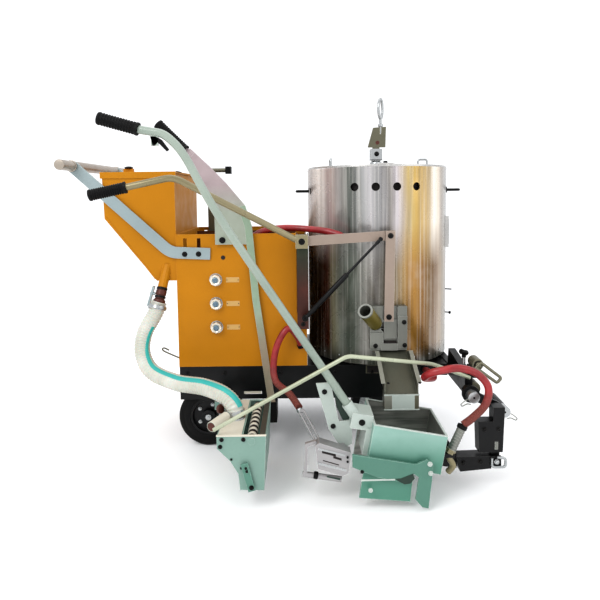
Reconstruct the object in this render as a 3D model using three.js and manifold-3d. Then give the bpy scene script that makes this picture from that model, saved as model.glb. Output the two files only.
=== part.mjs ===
// Hand-pushed thermoplastic line striping machine.
// Millimetres, +X to the front of the machine, +Y to its left side, +Z up.
// Shapes are drawn from the ground point below the middle of the rear axle. The finished
// machine is then moved so that its origin is the bottom centre of its bounding box.
import * as THREE from 'three';
import { mergeVertices } from 'three/addons/utils/BufferGeometryUtils.js';
import Module from 'manifold-3d';

const wasm = await Module();
wasm.setup();

// ---------- driving dimensions ----------
const GAP = 0.3;
const ORIGIN = { x: 237.3, y: -136.5 };

const DECK = { rear: -85, front: 786, half: 200, top: 280, skirt: 171, frontSkirt: 243, step: 650, sheet: 4 };
const REAR = { radius: 100, width: 40, track: 150, hub: 62, axle: 10, axleHalf: 178, sides: 16 };
const CASTER = { swivelX: 600, axleX: 570, radius: 80, width: 48, axle: 8, plate: 190, forkY: 32 };

const CABINET = {
  rear: -86, front: 330, half: 200, top: 711, sheet: 2.5, notchX: 298, notchY: -150, notchZ: 456,
};
const SLOTS = { xs: [-57, -13], low: 643, high: 699, width: 12 };
const KNOBS = { x: 39, zs: { upper: 565, middle: 488, lower: 411 }, radius: 17.5, stem: 4.5 };
const LOCK_LEVER = { x: -31, halfWidth: 12, y: 180, halfThick: 4, low: 668, high: 925, pinZ: 684, pin: 5 };
const LOCK_ROD = { rear: -66, front: 32, z: 930, radius: 8, knobRear: 28, knobFront: 50, knob: 15 };
const CYLINDER = { x: 112, radius: 138, shoulder: 510, neck: 585 };

const HOPPER = { rear: -316, front: -86.5, right: -195, left: 180, top: 906, wall: 2.5 };
const HOPPER_LOW = { rearEdge: 764, toeX: -151, floor: 563 };
const NOZZLE = { from: [-118, -185, 612], to: [-130, -212, 544], outer: 15, bore: 11 };
const BEAD_VALVE = { top: [-130.1, -212.2, 543.5], bottom: [-136, -225.5, 510], radius: 17 };
const HOPPER_KNOB = { rear: -306, front: -272, half: 7, foot: 8, low: 920, high: 931 };
const TAP_LEVER = { side: [[-152, 548], [-172, 486], [-178, 488], [-158, 550]], right: -227, left: -211 };
const TAP_SPINDLE = { rear: -168, front: -152, y: -219, z: 526, radius: 5 };
const BEAD_HOSE = { radius: 25, sides: 10, steps: 18 };
const BEAD_HOSE_PATH = [
  [-137.6, -229, 501], [-148, -235, 468], [-181, -247, 405], [-186, -262, 350], [-156, -291, 302],
  [-71, -330, 275], [28, -380, 276], [92, -420, 264], [119, -440, 243], [124, -444, 221],
];

const HANDLE = { barX: -405, barZ: 932, barRadius: 16, barHalf: 300, armY: 201.3, armThick: 6, armWidth: 37 };
const HANDLE_ELBOW = [-103, 655];
const HANDLE_FOOT = { x: 24, z: 649, stud: 4.5, studInner: 190 };

const BRAKE = { pivot: [65, 693], pin: 6, inner: -210, outer: -216, barWidth: 31, legWidth: 23 };
const BRAKE_GRIP = { end: [-118, 1049], front: [-41, 972], radius: 17 };
const BRAKE_ELBOW = [146, 783];
const BRAKE_LEG = [[132, 797], [148, 735], [168, 500]];
const BRAKE_GUSSET = [
  [42, 679], [42, 781], [23, 835], [-2, 889], [-50, 958], [-30, 983], [28, 928], [82, 872], [138, 804],
  [152, 735], [152, 679],
];
const BRAKE_PAD = { x: 218, half: 12, low: 99, high: 165, inner: -135 };

const KETTLE = { x: 581, radius: 240, wall: 3, base: 290.3, top: 919, sides: 32 };
const POT = { radius: 215, floor: 400, rim: 922.3 };
const VENTS = { angles: [-24, -8, 8, 24], z: 856, radius: 13 };
const SIDE_GRIP = { reach: 43, half: 60, thick: 10, low: 840, high: 850 };
const STRAP = { back: -88, front: -72, low: 648, high: 758, thick: 16 };
const LID = { radius: 238, thick: 3, bridgeHalf: 25, bridgeThick: 7, handleRise: 30 };
const LOOP_HANDLE = { offset: 160, rearReach: 40, frontReach: 20, radius: 3.5, bend: 8 };
const SHAFT = { radius: 12, foot: 412, hub: 950, hubTop: 990, pivotZ: 972 };
const PADDLES = {
  low: [4, 40], middle: [130, 165], high: [260, 295], reach: { low: 185, middle: 170, high: 150 },
};
const CRANK = { halfThick: 5, pin: 5, shoulder: 996, top: 1067, eyeOffset: 16, eyeFoot: 1044 };
const EYE = { z: 1129, radius: 20, wire: 5, stretch: 1.7, turn: 62, shankTop: 1098 };
const BURNER = {
  inner: 88, outer: 116, low: 318, high: 342, legRing: 102, leg: 7, pipeZ: 330, pipe: 11, pipeReach: 205,
};

const OUTLET = { left: 526, right: 642, low: 346, high: 483, face: -262, portZ: 420, portRadius: 22 };
const TUBE = { from: [545, -257, 428], to: [503, -330, 486], outer: 22, bore: 18 };
const TUBE_BORE = { from: [547, -260, 425], to: [496, -341, 496] };
const GATE = { left: 570, right: 610, low: 383, high: 442, front: -258.5, back: -254.5 };
const LINK = { top: [588, 706], low: [583, 454], front: -276.5, back: -270.5, width: 29 };
const GATE_LEVER = { end: [-270, -399, 841], elbow: [-50, -370, 889], radius: 10, bend: 26, flatWidth: 30 };
const GATE_GRIP = { end: [-283, -400.7, 838.2], front: [-179, -387, 860.9], radius: 17, bore: 10.8 };
const FULCRUM = { at: [316, 691], boss: 19, front: -282, back: -262.5 };
const POST = { rear: 300, front: 336, web: -256, low: 414, high: 712, sheet: 3 };
const STRUT = { foot: [324, 456], head: [556, 697], y: -287, body: 8, rod: 4 };
const CHUTE = {
  left: 546, right: 643, top: 343, low: 262, back: -245, lip: -425, wall: 3, rise: 34, dropLow: 221,
};

const SHOE_TILT = THREE.MathUtils.degToRad(10);
const SHOE = { x: 500, z: 229, length: 197, depth: 104, right: -550, left: -362, wall: 3 };
const SKID = [[-8, -94], [-6, -199], [129, -187], [122, -94]];
const SIDE_PLATE = [
  [-46, -80], [-40, -113], [26, -129], [88, -132], [120, -105], [136, -112], [138, -173], [160, -191],
  [176, -191], [171, -112], [166, -70], [148, -62], [122, -79],
];
const SIDE_PLATE_PIVOT = { x: 155, z: -74, radius: 7 };
const HANGER = [
  [350, 320], [391, 322], [401, 262], [412, 214], [448, 216], [448, 150], [420, 134], [384, 192],
];
const LIFT_LEVER = { y: -500, radius: 11, foot: [449, 245], slope: [492, -746], bend: 40 };
const LIFT_LEVER_TOP = [[-200, 1036], [-43, 991]];
const SHOE_GRIP = { end: [-213, -500, 1039.7], front: [-106, -500, 1009], radius: 17.5, bore: 11.9 };
const TRIGGER = { pivot: [-66, 968], pin: 2.6, half: 4, blade: [[-90, 984], [-66, 968], [-28, 938]], width: 8 };
const SHOE_BURNER = [[345, 168], [356, 176], [440, 148], [434, 92], [418, 84], [352, 104]];
const SHOE_BURNER_BRACKET = [[348, 172], [322, 164], [318, 82]];
const LANCES = [[[304, -408, 208], [350, -502, 156]], [[316, -404, 212], [362, -502, 160]]];
const HITCH = { x: 852, z: 86, y: -450, pin: 5 };
const TOW_ARM = [[739, 100], [838, 102], [838, 66], [751, 58]];
const TOW_BRACKET = [[800, 200], [842, 200], [842, 240], [874, 240], [870, 112], [804, 111]];
const TOW_SHAFT = { x: 880, z: 220, radius: 16, right: -452, left: -340 };
const GUIDE_SHAFT = { x: 793, z: 262, radius: 16, right: -452 };
const OUTRIGGER = { rear: 786.3, front: 808, end: -388 };
const OUTRIGGER_SIDE = [[-388, 247], [-60, 247], [-60, 283], [-198, 283], [-206, 334], [-388, 309]];
const SLEEVE = { x: 828, z: 331, right: -372, left: -330, radius: 15, bore: 10 };
const CLAMP_LOOP = [[836, -377, 339], [880, -420, 307], [868, -420, 293], [821, -377, 324]];
const CLAMP_KNOB = {
  x: 798, y: -335, low: 323, high: 358, stem: 5, tee: [[786, -343, 364], [812, -327, 353]], grip: 8,
};

const BEAD_BOX = { right: -560, left: -304, wall: 3, rollerX: 178, rollerZ: 194, rollerRadius: 18 };
const BEAD_BOX_SIDE = [[87, 209], [216, 209], [209, 61], [146, 62], [142, 106], [121, 141], [87, 175]];
const BEAD_BOX_HOLLOW = [[90, 206], [213, 206], [206, 64], [149, 65], [145, 107], [124, 142.5], [90, 176.5]];
const INLET = { x: 124, y: -444, low: 207, high: 214, collar: 27, bore: 20 };
const SIGHT_STUB = { from: [100, -462, 221], to: [69, -530, 221], radius: 13 };
const GATE_ARM = {
  pivot: [177, 74], pin: 4.5, line: [[159, 138], [178, 64]], width: 19, slot: [[163, 130], [167, 114]],
};
const BRACE = { foot: [81, 229], bend: [429, 421], elbow: [677, -440, 357], end: [797, -395.5, 301], radius: 5 };

const GAS_HOSE = { radius: 10.5, sides: 8 };
const HOSES = {
  gas_hose_top: [[150, -170, 696], [190, -165, 716], [250, -158, 726], [320, -165, 724], [400, -205, 716],
    [440, -222, 704], [462, -227, 690]],
  gas_hose_left: [[313, -214, 345], [297, -226, 386], [271, -240, 413], [240, -250, 374], [223, -262, 299],
    [231, -282, 257], [272, -330, 237], [303, -396, 218]],
  gas_hose_right: [[712, -204, 262], [706, -300, 284], [690, -400, 303], [656, -440, 318], [668, -468, 340],
    [700, -478, 351], [742, -478, 356], [794, -475, 338], [824, -475, 300], [816, -482, 258], [770, -498, 212],
    [730, -508, 164], [715, -509, 142]],
};

// ---------- finishes: colour, roughness, metalness ----------
const FINISHES = {
  orangePaint: [0xc27a16, 0.4, 0.0],
  blackPaint: [0x16171a, 0.45, 0.0],
  mintPaint: [0x5f9a84, 0.4, 0.0],
  palePaint: [0xa9c4b8, 0.4, 0.0],
  zincYellow: [0xb5a97c, 0.35, 0.8],
  pinkSteel: [0xb9a493, 0.45, 0.6],
  stainless: [0xb8b8bc, 0.22, 1.0],
  brightSteel: [0xc8c8ca, 0.3, 1.0],
  darkSteel: [0x5d5a4c, 0.5, 0.7],
  rubber: [0x141414, 0.8, 0.0],
  redHose: [0x8e2b2b, 0.6, 0.0],
  clearHose: [0xd8dcd6, 0.35, 0.0],
  gasBottle: [0x6f7a80, 0.5, 0.0],
};

const machine = new THREE.Group();

// ---------- solid helpers ----------
function signedVolume(position, index) {
  const a = new THREE.Vector3();
  const b = new THREE.Vector3();
  const c = new THREE.Vector3();
  let total = 0;
  for (let i = 0; i < index.length; i += 3) {
    a.fromBufferAttribute(position, index[i]);
    b.fromBufferAttribute(position, index[i + 1]);
    c.fromBufferAttribute(position, index[i + 2]);
    total += a.dot(b.cross(c));
  }
  return total / 6;
}

// Merges shared vertices, drops empty triangles and turns every face outward.
function closed(geometry) {
  const plain = new THREE.BufferGeometry();
  const source = geometry.index ? geometry.toNonIndexed() : geometry;
  plain.setAttribute('position', source.getAttribute('position').clone());
  const merged = mergeVertices(plain, 1e-3);
  const index = [];
  const all = merged.index.array;
  for (let i = 0; i < all.length; i += 3) {
    const [a, b, c] = [all[i], all[i + 1], all[i + 2]];
    if (a !== b && b !== c && c !== a) index.push(a, b, c);
  }
  const position = merged.getAttribute('position');
  if (signedVolume(position, index) < 0) index.reverse();
  merged.setIndex(index);
  return merged;
}

function toSolid(geometry) {
  const body = closed(geometry);
  const mesh = new wasm.Mesh({
    numProp: 3,
    vertProperties: new Float32Array(body.getAttribute('position').array),
    triVerts: new Uint32Array(body.index.array),
  });
  return new wasm.Manifold(mesh);
}

function toGeometry(solid) {
  const mesh = solid.getMesh();
  const geometry = new THREE.BufferGeometry();
  geometry.setAttribute('position', new THREE.BufferAttribute(new Float32Array(mesh.vertProperties), 3));
  geometry.setIndex(new THREE.BufferAttribute(new Uint32Array(mesh.triVerts), 1));
  return geometry;
}

function join(first, ...others) {
  return toGeometry(others.reduce((sum, next) => sum.add(toSolid(next)), toSolid(first)));
}

function cut(body, ...tools) {
  return toGeometry(tools.reduce((rest, tool) => rest.subtract(toSolid(tool)), toSolid(body)));
}

// ---------- shape helpers ----------
function block(x0, x1, y0, y1, z0, z1) {
  const geometry = new THREE.BoxGeometry(x1 - x0, y1 - y0, z1 - z0);
  return geometry.translate((x0 + x1) / 2, (y0 + y1) / 2, (z0 + z1) / 2);
}

function rod(from, to, radius, sides = 12) {
  const start = new THREE.Vector3(...from);
  const span = new THREE.Vector3(...to).sub(start);
  const geometry = new THREE.CylinderGeometry(radius, radius, span.length(), sides);
  geometry.translate(0, span.length() / 2, 0);
  const turn = new THREE.Quaternion().setFromUnitVectors(new THREE.Vector3(0, 1, 0), span.normalize());
  return geometry.applyQuaternion(turn).translate(...from);
}

function shapeFrom(outline) {
  return new THREE.Shape(outline.map(([u, v]) => new THREE.Vector2(u, v)));
}

function prism(outline, depth) {
  return new THREE.ExtrudeGeometry(shapeFrom(outline), { depth, bevelEnabled: false });
}

// A plate whose outline lies in the XZ plane, between two Y planes.
function sidePlate(outline, y0, y1) {
  return prism(outline, y1 - y0).rotateX(Math.PI / 2).translate(0, y1, 0);
}

// A plate whose outline lies in the YZ plane, between two X planes.
function crossPlate(outline, x0, x1) {
  const turn = new THREE.Matrix4().makeBasis(
    new THREE.Vector3(0, 1, 0),
    new THREE.Vector3(0, 0, 1),
    new THREE.Vector3(1, 0, 0),
  );
  return prism(outline, x1 - x0).applyMatrix4(turn).translate(x0, 0, 0);
}

// The outline of a flat bar of one width along a bent centre line, with square ends.
function bar(points, width) {
  const at = points.map(([u, v]) => new THREE.Vector2(u, v));
  const left = [];
  const right = [];
  at.forEach((point, i) => {
    const before = i > 0 ? point.clone().sub(at[i - 1]).normalize() : null;
    const after = i < at.length - 1 ? at[i + 1].clone().sub(point).normalize() : null;
    const along = (before ?? after).clone().add(after ?? before).normalize();
    const side = new THREE.Vector2(-along.y, along.x);
    const mitre = width / 2 / side.dot(new THREE.Vector2(-(after ?? before).y, (after ?? before).x));
    left.push(point.clone().addScaledVector(side, mitre));
    right.unshift(point.clone().addScaledVector(side, -mitre));
  });
  return [...left, ...right].map((p) => [p.x, p.y]);
}

function circle(radius, sides) {
  return Array.from({ length: sides }, (_, i) => {
    const angle = (2 * Math.PI * i) / sides;
    return [radius * Math.cos(angle), radius * Math.sin(angle)];
  });
}

function sweep(curve, radius, sides, steps) {
  const options = { steps, extrudePath: curve, bevelEnabled: false };
  return new THREE.ExtrudeGeometry(shapeFrom(circle(radius, sides)), options);
}

function hose(points, radius, sides, steps) {
  const curve = new THREE.CatmullRomCurve3(points.map((p) => new THREE.Vector3(...p)));
  return sweep(curve, radius, sides, steps);
}

// A pipe of straight runs whose corners are rounded over the bend length.
function bentPipe(points, radius, bend, sides = 8, steps = 14) {
  const at = points.map((p) => new THREE.Vector3(...p));
  const path = new THREE.CurvePath();
  let start = at[0];
  for (let i = 1; i < at.length - 1; i += 1) {
    const before = at[i].clone().addScaledVector(at[i].clone().sub(at[i - 1]).normalize(), -bend);
    const after = at[i].clone().addScaledVector(at[i + 1].clone().sub(at[i]).normalize(), bend);
    path.add(new THREE.LineCurve3(start, before));
    path.add(new THREE.QuadraticBezierCurve3(before, at[i], after));
    start = after;
  }
  path.add(new THREE.LineCurve3(start, at[at.length - 1]));
  return sweep(path, radius, sides, steps);
}

// A body of revolution about a vertical axis; profile points are [radius, z].
function turned(profile, sides, x = 0, y = 0) {
  const points = profile.map(([r, z]) => new THREE.Vector2(r, z));
  return new THREE.LatheGeometry(points, sides).rotateX(Math.PI / 2).translate(x, y, 0);
}

// A body of revolution about the Y axis; profile points are [radius, y].
function turnedAcross(profile, sides) {
  const points = profile.map(([r, y]) => new THREE.Vector2(r, y));
  return new THREE.LatheGeometry(points, sides);
}

function add(parent, name, geometry, finish) {
  const [color, roughness, metalness] = FINISHES[finish];
  const body = closed(geometry);
  body.computeVertexNormals();
  const mesh = new THREE.Mesh(body, new THREE.MeshStandardMaterial({ color, roughness, metalness }));
  mesh.name = name;
  parent.add(mesh);
  return mesh;
}

// ---------- chassis and wheels ----------
function chassisFrame() {
  const { rear, front, half, top, skirt, frontSkirt, step, sheet } = DECK;
  const outline = [
    [rear, top], [rear, skirt], [step, skirt], [step + 20, frontSkirt], [front, frontSkirt], [front, top],
  ];
  const hollow = block(rear + sheet, front - sheet, -half + sheet, half - sheet, 0, top - sheet);
  const bracketTop = top - sheet / 2;
  const bracket = [[-30, bracketTop], [-22, REAR.radius - 22], [22, REAR.radius - 22], [30, bracketTop]];
  const frame = join(
    cut(sidePlate(outline, -half, half), hollow),
    sidePlate(bracket, -120, -112),
    sidePlate(bracket, 112, 120),
    block(CASTER.swivelX - 42, CASTER.swivelX + 42, -42, 42, CASTER.plate, bracketTop),
  );
  const axleHole = rod([0, -130, REAR.radius], [0, 130, REAR.radius], REAR.axle + 0.6);
  const handSlot = block(121, 181, -half - 2, -half + sheet + 2, 186, 197);
  return cut(frame, axleHole, handSlot);
}

function rearTyre() {
  const w = REAR.width / 2;
  const r = REAR.radius;
  const profile = [
    [REAR.hub, -w], [r - 8, -w], [r - 2, -w + 6], [r, -w + 14], [r, w - 14], [r - 2, w - 6],
    [r - 8, w], [REAR.hub, w], [REAR.hub, -w],
  ];
  return turnedAcross(profile, REAR.sides);
}

function rearHub() {
  const rim = REAR.hub - GAP;
  const bore = REAR.axle + 0.8;
  const profile = [
    [bore, -24], [24, -24], [24, -5], [52, -5], [52, -17], [rim, -17], [rim, 17],
    [52, 17], [52, 5], [24, 5], [24, 24], [bore, 24], [bore, -24],
  ];
  return turnedAcross(profile, REAR.sides);
}

function casterFork() {
  const { swivelX, axleX, radius, axle, plate, forkY } = CASTER;
  const leg = [
    [swivelX - 32, plate - GAP], [axleX - 16, radius - 16], [axleX + 16, radius - 16], [swivelX + 32, plate - GAP],
  ];
  return join(
    block(swivelX - 40, swivelX + 40, -40, 40, plate - 9, plate - GAP),
    block(swivelX - 32, swivelX + 32, -forkY - 6, forkY + 6, plate - 22, plate - 8),
    sidePlate(leg, -forkY - 6, -forkY),
    sidePlate(leg, forkY, forkY + 6),
    rod([axleX, -forkY - 12, radius], [axleX, forkY + 12, radius], axle, 8),
  );
}

function frontWheel() {
  const w = CASTER.width / 2;
  const r = CASTER.radius;
  const bore = CASTER.axle + 0.8;
  const profile = [
    [bore, -w - 2], [22, -w - 2], [26, -8], [50, -8], [54, -w], [r - 6, -w], [r, -w + 9], [r, w - 9],
    [r - 6, w], [54, w], [50, 8], [26, 8], [22, w + 2], [bore, w + 2], [bore, -w - 2],
  ];
  return turnedAcross(profile, REAR.sides);
}

function addRunningGear() {
  add(machine, 'chassis_frame', chassisFrame(), 'blackPaint');
  const axle = rod([0, -REAR.axleHalf, REAR.radius], [0, REAR.axleHalf, REAR.radius], REAR.axle);
  add(machine, 'rear_axle', axle, 'brightSteel');
  for (const [side, y] of [['right', -REAR.track], ['left', REAR.track]]) {
    add(machine, `rear_tyre_${side}`, rearTyre(), 'rubber').position.set(0, y, REAR.radius);
    add(machine, `rear_hub_${side}`, rearHub(), 'brightSteel').position.set(0, y, REAR.radius);
  }
  add(machine, 'caster_fork', casterFork(), 'blackPaint');
  add(machine, 'front_wheel', frontWheel(), 'rubber').position.set(CASTER.axleX, 0, CASTER.radius);
}

// ---------- gas cabinet ----------
function cabinetShell() {
  const { rear, front, half, top, sheet, notchX, notchY, notchZ } = CABINET;
  const base = DECK.top + GAP;
  const outer = cut(
    block(rear, front, -half, half, base, top),
    block(notchX, front + 1, -half - 1, notchY, notchZ, top + 1),
  );
  const inner = cut(
    block(rear + sheet, front - sheet, -half + sheet, half - sheet, base + sheet, top + 1),
    block(notchX - sheet, front, -half, notchY + sheet, notchZ - sheet, top + 2),
  );
  const tools = [inner];
  for (const x of SLOTS.xs) {
    tools.push(block(x - SLOTS.width / 2, x + SLOTS.width / 2, -half - 1, half + 1, SLOTS.low, SLOTS.high));
  }
  for (const z of Object.values(KNOBS.zs)) {
    tools.push(rod([KNOBS.x, -half - 1, z], [KNOBS.x, -half + sheet + 1, z], 6, 8));
  }
  const [px, pz] = BRAKE.pivot;
  tools.push(rod([px, -half - 1, pz], [px, -half + sheet + 1, pz], 7.5, 8));
  tools.push(rod([px - 1, -half - 1, pz - 57], [px - 1, -half + sheet + 1, pz - 57], 5, 8));
  const { x: lockX, pinZ, pin } = LOCK_LEVER;
  tools.push(rod([lockX, half - sheet - 1, pinZ], [lockX, half + 1, pinZ], pin + 1.5, 8));
  return cut(outer, ...tools);
}

function gasCylinder() {
  const { x, radius, shoulder, neck } = CYLINDER;
  const floor = DECK.top + CABINET.sheet + 2 * GAP;
  const dome = Array.from({ length: 5 }, (_, i) => {
    const angle = (Math.PI / 2) * (i / 5);
    return [26 + (radius - 26) * Math.cos(angle), shoulder + (neck - 22 - shoulder) * Math.sin(angle)];
  });
  const profile = [
    [0, floor], [radius - 12, floor], [radius, floor + 14], ...dome, [20, neck - 20], [20, neck],
    [13, neck], [13, neck + 34], [24, neck + 36], [24, neck + 52], [0, neck + 52],
  ];
  return turned(profile, 20, x, 0);
}

function valveKnob(z) {
  const face = -CABINET.half;
  return join(
    rod([KNOBS.x, face - 19, z], [KNOBS.x, face - 4, z], KNOBS.radius, 16),
    rod([KNOBS.x, face - 5, z], [KNOBS.x, face + 8, z], KNOBS.stem, 8),
  );
}

function lockLever() {
  const { x, halfWidth, y, halfThick, low, high, pinZ, pin } = LOCK_LEVER;
  const { rear, front, z, radius, knobRear, knobFront, knob } = LOCK_ROD;
  return join(
    block(x - halfWidth, x + halfWidth, y - halfThick, y + halfThick, low, high),
    rod([x, y + halfThick - 1, pinZ], [x, CABINET.half + 2 * GAP, pinZ], pin, 8),
    rod([rear, y, z], [front, y, z], radius, 10),
    rod([knobRear, y, z], [knobFront, y, z], knob, 12),
  );
}

function addCabinet() {
  add(machine, 'cabinet_shell', cabinetShell(), 'orangePaint');
  add(machine, 'gas_cylinder', gasCylinder(), 'gasBottle');
  for (const [level, z] of Object.entries(KNOBS.zs)) {
    add(machine, `valve_knob_${level}`, valveKnob(z), 'brightSteel');
  }
  add(machine, 'lock_lever', lockLever(), 'darkSteel');
}

// ---------- bead hopper, valve and hose ----------
function hopperOutline(inset, lift) {
  const { rear, front, top } = HOPPER;
  const { rearEdge, toeX, floor } = HOPPER_LOW;
  return [
    [rear + inset, top + lift], [rear + 4 + inset, rearEdge + inset], [toeX + inset, floor + inset],
    [front - inset, floor + inset], [front - inset, top + lift],
  ];
}

function beadHopper() {
  const { right, left, wall } = HOPPER;
  const inner = sidePlate(hopperOutline(wall, 1), right + wall, left - wall);
  const shell = cut(sidePlate(hopperOutline(0, 0), right, left), inner);
  const stub = cut(rod(NOZZLE.from, NOZZLE.to, NOZZLE.outer), inner);
  const bore = rod([-115, -178.3, 629], [-132, -216.5, 532.7], NOZZLE.bore);
  return cut(join(shell, stub), bore);
}

function hopperLid() {
  const { rear, front, right, left, top, wall } = HOPPER;
  const lid = cut(
    block(rear - 5, front + 5, right - 4, left + 4, top - 14, top + 6),
    block(rear - 2, front + 6, right - 1.5, left + 1.5, top - 15, top + GAP),
  );
  const knob = HOPPER_KNOB;
  const skin = top + 6 - wall;
  return join(
    lid,
    block(knob.rear + 2, knob.rear + 2 + knob.foot, 2 - knob.half, knob.half - 2, skin, knob.high - 6),
    block(knob.front - 2 - knob.foot, knob.front - 2, 2 - knob.half, knob.half - 2, skin, knob.high - 6),
    block(knob.rear, knob.front, -knob.half, knob.half, knob.low, knob.high),
  );
}

function beadValveLever() {
  const { rear, front, y, z, radius } = TAP_SPINDLE;
  return join(
    sidePlate(TAP_LEVER.side, TAP_LEVER.right, TAP_LEVER.left),
    rod([front, y, z], [rear, y, z], radius, 8),
  );
}

function addBeadSupply() {
  add(machine, 'bead_hopper', beadHopper(), 'orangePaint');
  add(machine, 'hopper_lid', hopperLid(), 'orangePaint');
  add(machine, 'bead_valve', rod(BEAD_VALVE.top, BEAD_VALVE.bottom, BEAD_VALVE.radius), 'darkSteel');
  add(machine, 'bead_valve_lever', beadValveLever(), 'brightSteel');
  const { radius, sides, steps } = BEAD_HOSE;
  add(machine, 'bead_hose', hose(BEAD_HOSE_PATH, radius, sides, steps), 'clearHose');
}

// ---------- push handle ----------
function pushHandle() {
  const { barX, barZ, barRadius, barHalf, armY, armThick, armWidth } = HANDLE;
  const { x: footX, z: footZ, stud, studInner } = HANDLE_FOOT;
  const outline = bar([[barX, barZ], HANDLE_ELBOW, [footX, footZ]], armWidth);
  const parts = [];
  for (const side of [-1, 1]) {
    const near = side * armY;
    const far = side * (armY + armThick);
    parts.push(sidePlate(outline, Math.min(near, far), Math.max(near, far)));
    for (const x of SLOTS.xs) {
      parts.push(rod([x, far - side, footZ], [x, side * studInner, footZ], stud, 8));
    }
  }
  return join(rod([barX, -barHalf, barZ], [barX, barHalf, barZ], barRadius), ...parts);
}

// ---------- parking brake ----------
function brakeLever() {
  const { pivot, pin, inner, outer, barWidth, legWidth } = BRAKE;
  const [px, pz] = pivot;
  const { end, front } = BRAKE_GRIP;
  const tang = bar([end, [front[0] + 10, front[1] - 10]], barWidth - 9);
  const leg = bar([...BRAKE_LEG, [BRAKE_PAD.x - 4, BRAKE_PAD.high - 5]], legWidth);
  const plate = (outline) => sidePlate(outline, outer, inner);
  return join(
    plate(bar([front, BRAKE_ELBOW], barWidth)),
    plate(tang),
    plate(leg),
    plate(BRAKE_GUSSET),
    rod([px, inner - 1, pz], [px, -CABINET.half + 8, pz], pin, 8),
  );
}

function brakeGrip() {
  const { inner, outer, barWidth } = BRAKE;
  const { end, front, radius } = BRAKE_GRIP;
  const y = (inner + outer) / 2;
  const sleeve = rod([end[0] - 12, y, end[1] + 12], [front[0] - 3, y, front[1] + 3], radius);
  const pocket = bar([[end[0] - GAP, end[1] + GAP], [front[0] + 5, front[1] - 5]], barWidth - 8);
  return cut(sleeve, sidePlate(pocket, outer - GAP, inner + GAP));
}

function brakePad() {
  const { x, half, low, high, inner } = BRAKE_PAD;
  const pad = block(x - half, x + half, BRAKE.outer - 5, inner, low, high);
  const socket = bar([[x - 9, high + 40], [x - 3, high - 14]], BRAKE.legWidth + 2);
  return cut(pad, sidePlate(socket, BRAKE.outer - GAP, BRAKE.inner + GAP));
}

function addHandles() {
  add(machine, 'push_handle', pushHandle(), 'palePaint');
  add(machine, 'brake_lever', brakeLever(), 'pinkSteel');
  add(machine, 'brake_grip', brakeGrip(), 'rubber');
  add(machine, 'brake_pad', brakePad(), 'rubber');
}

// ---------- kettle ----------
function sideGrips(side) {
  const { reach, half, thick, low, high } = SIDE_GRIP;
  const root = KETTLE.x + side * (KETTLE.radius - 9);
  const tip = KETTLE.x + side * (KETTLE.radius + reach);
  const span = (from, to) => [Math.min(from, to), Math.max(from, to)];
  return [
    block(...span(root, tip), -half, thick - half, low, high),
    block(...span(root, tip), half - thick, half, low, high),
    block(...span(tip - side * thick, tip), -half, half, low, high),
  ];
}

function kettleShell() {
  const { x, radius, wall, base, top, sides } = KETTLE;
  const inner = radius - wall;
  const profile = [[inner, base], [radius, base], [radius, top], [inner, top], [inner, base]];
  const shell = turned(profile, sides, x, 0);
  const vents = VENTS.angles.map((degrees) => {
    const angle = THREE.MathUtils.degToRad(degrees);
    const across = (radius + 20) * Math.sin(angle);
    const deep = (radius + 20) * Math.cos(angle);
    return rod([x + across, -deep, VENTS.z], [x - across, deep, VENTS.z], VENTS.radius, 8);
  });
  const outlet = rod([x, -radius - 10, OUTLET.portZ], [x, -radius + 40, OUTLET.portZ], 31);
  const strap = block(
    x + radius - wall - STRAP.thick, x + radius - wall, STRAP.back, STRAP.front, STRAP.low, STRAP.high,
  );
  return join(cut(shell, ...vents, outlet), ...sideGrips(-1), ...sideGrips(1), strap);
}

function kettlePot() {
  const { x, radius, wall, top, sides } = KETTLE;
  const profile = [
    [0, POT.floor], [POT.radius, POT.floor], [POT.radius, top + GAP], [radius, top + GAP],
    [radius, POT.rim], [POT.radius - wall, POT.rim], [POT.radius - wall, POT.floor + wall], [0, POT.floor + wall],
  ];
  const port = rod([x, -POT.radius - 5, OUTLET.portZ], [x, -POT.radius + 30, OUTLET.portZ], OUTLET.portRadius - 5);
  return cut(turned(profile, sides, x, 0), port);
}

function halfLid(side) {
  const { x, sides } = KETTLE;
  const low = POT.rim + GAP;
  const high = low + LID.thick;
  const disc = turned([[0, low], [LID.radius, low], [LID.radius, high], [0, high]], sides, x, 0);
  const edge = x + side * (LID.bridgeHalf + 1);
  const keepOut = side < 0 ? block(edge, x + 300, -300, 300, low - 5, high + 5)
    : block(x - 300, edge, -300, 300, low - 5, high + 5);
  return { plate: cut(disc, keepOut), high };
}

function kettleLid(side) {
  const { plate, high } = halfLid(side);
  const { offset: fromCentre, rearReach, frontReach, radius, bend } = LOOP_HANDLE;
  const middle = KETTLE.x + side * fromCentre;
  const across = side < 0;
  const corner = (offset, z) => (across ? [middle, offset, z] : [middle + offset, 0, z]);
  const reach = across ? rearReach : frontReach;
  const handle = bentPipe(
    [corner(-reach, high - 1), corner(-reach, high + LID.handleRise), corner(reach, high + LID.handleRise),
      corner(reach, high - 1)],
    radius, bend, 6, 12,
  );
  return join(plate, handle);
}

function lidBridge() {
  const { x } = KETTLE;
  const low = POT.rim + GAP;
  const bridge = join(
    block(x - LID.bridgeHalf, x + LID.bridgeHalf, -LID.radius, LID.radius, low, low + LID.bridgeThick),
    rod([x, 0, low + 1], [x, 0, SHAFT.hub - 5], 22, 14),
  );
  return cut(bridge, rod([x, 0, low - 5], [x, 0, SHAFT.hub], SHAFT.radius + 1.2));
}

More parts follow.
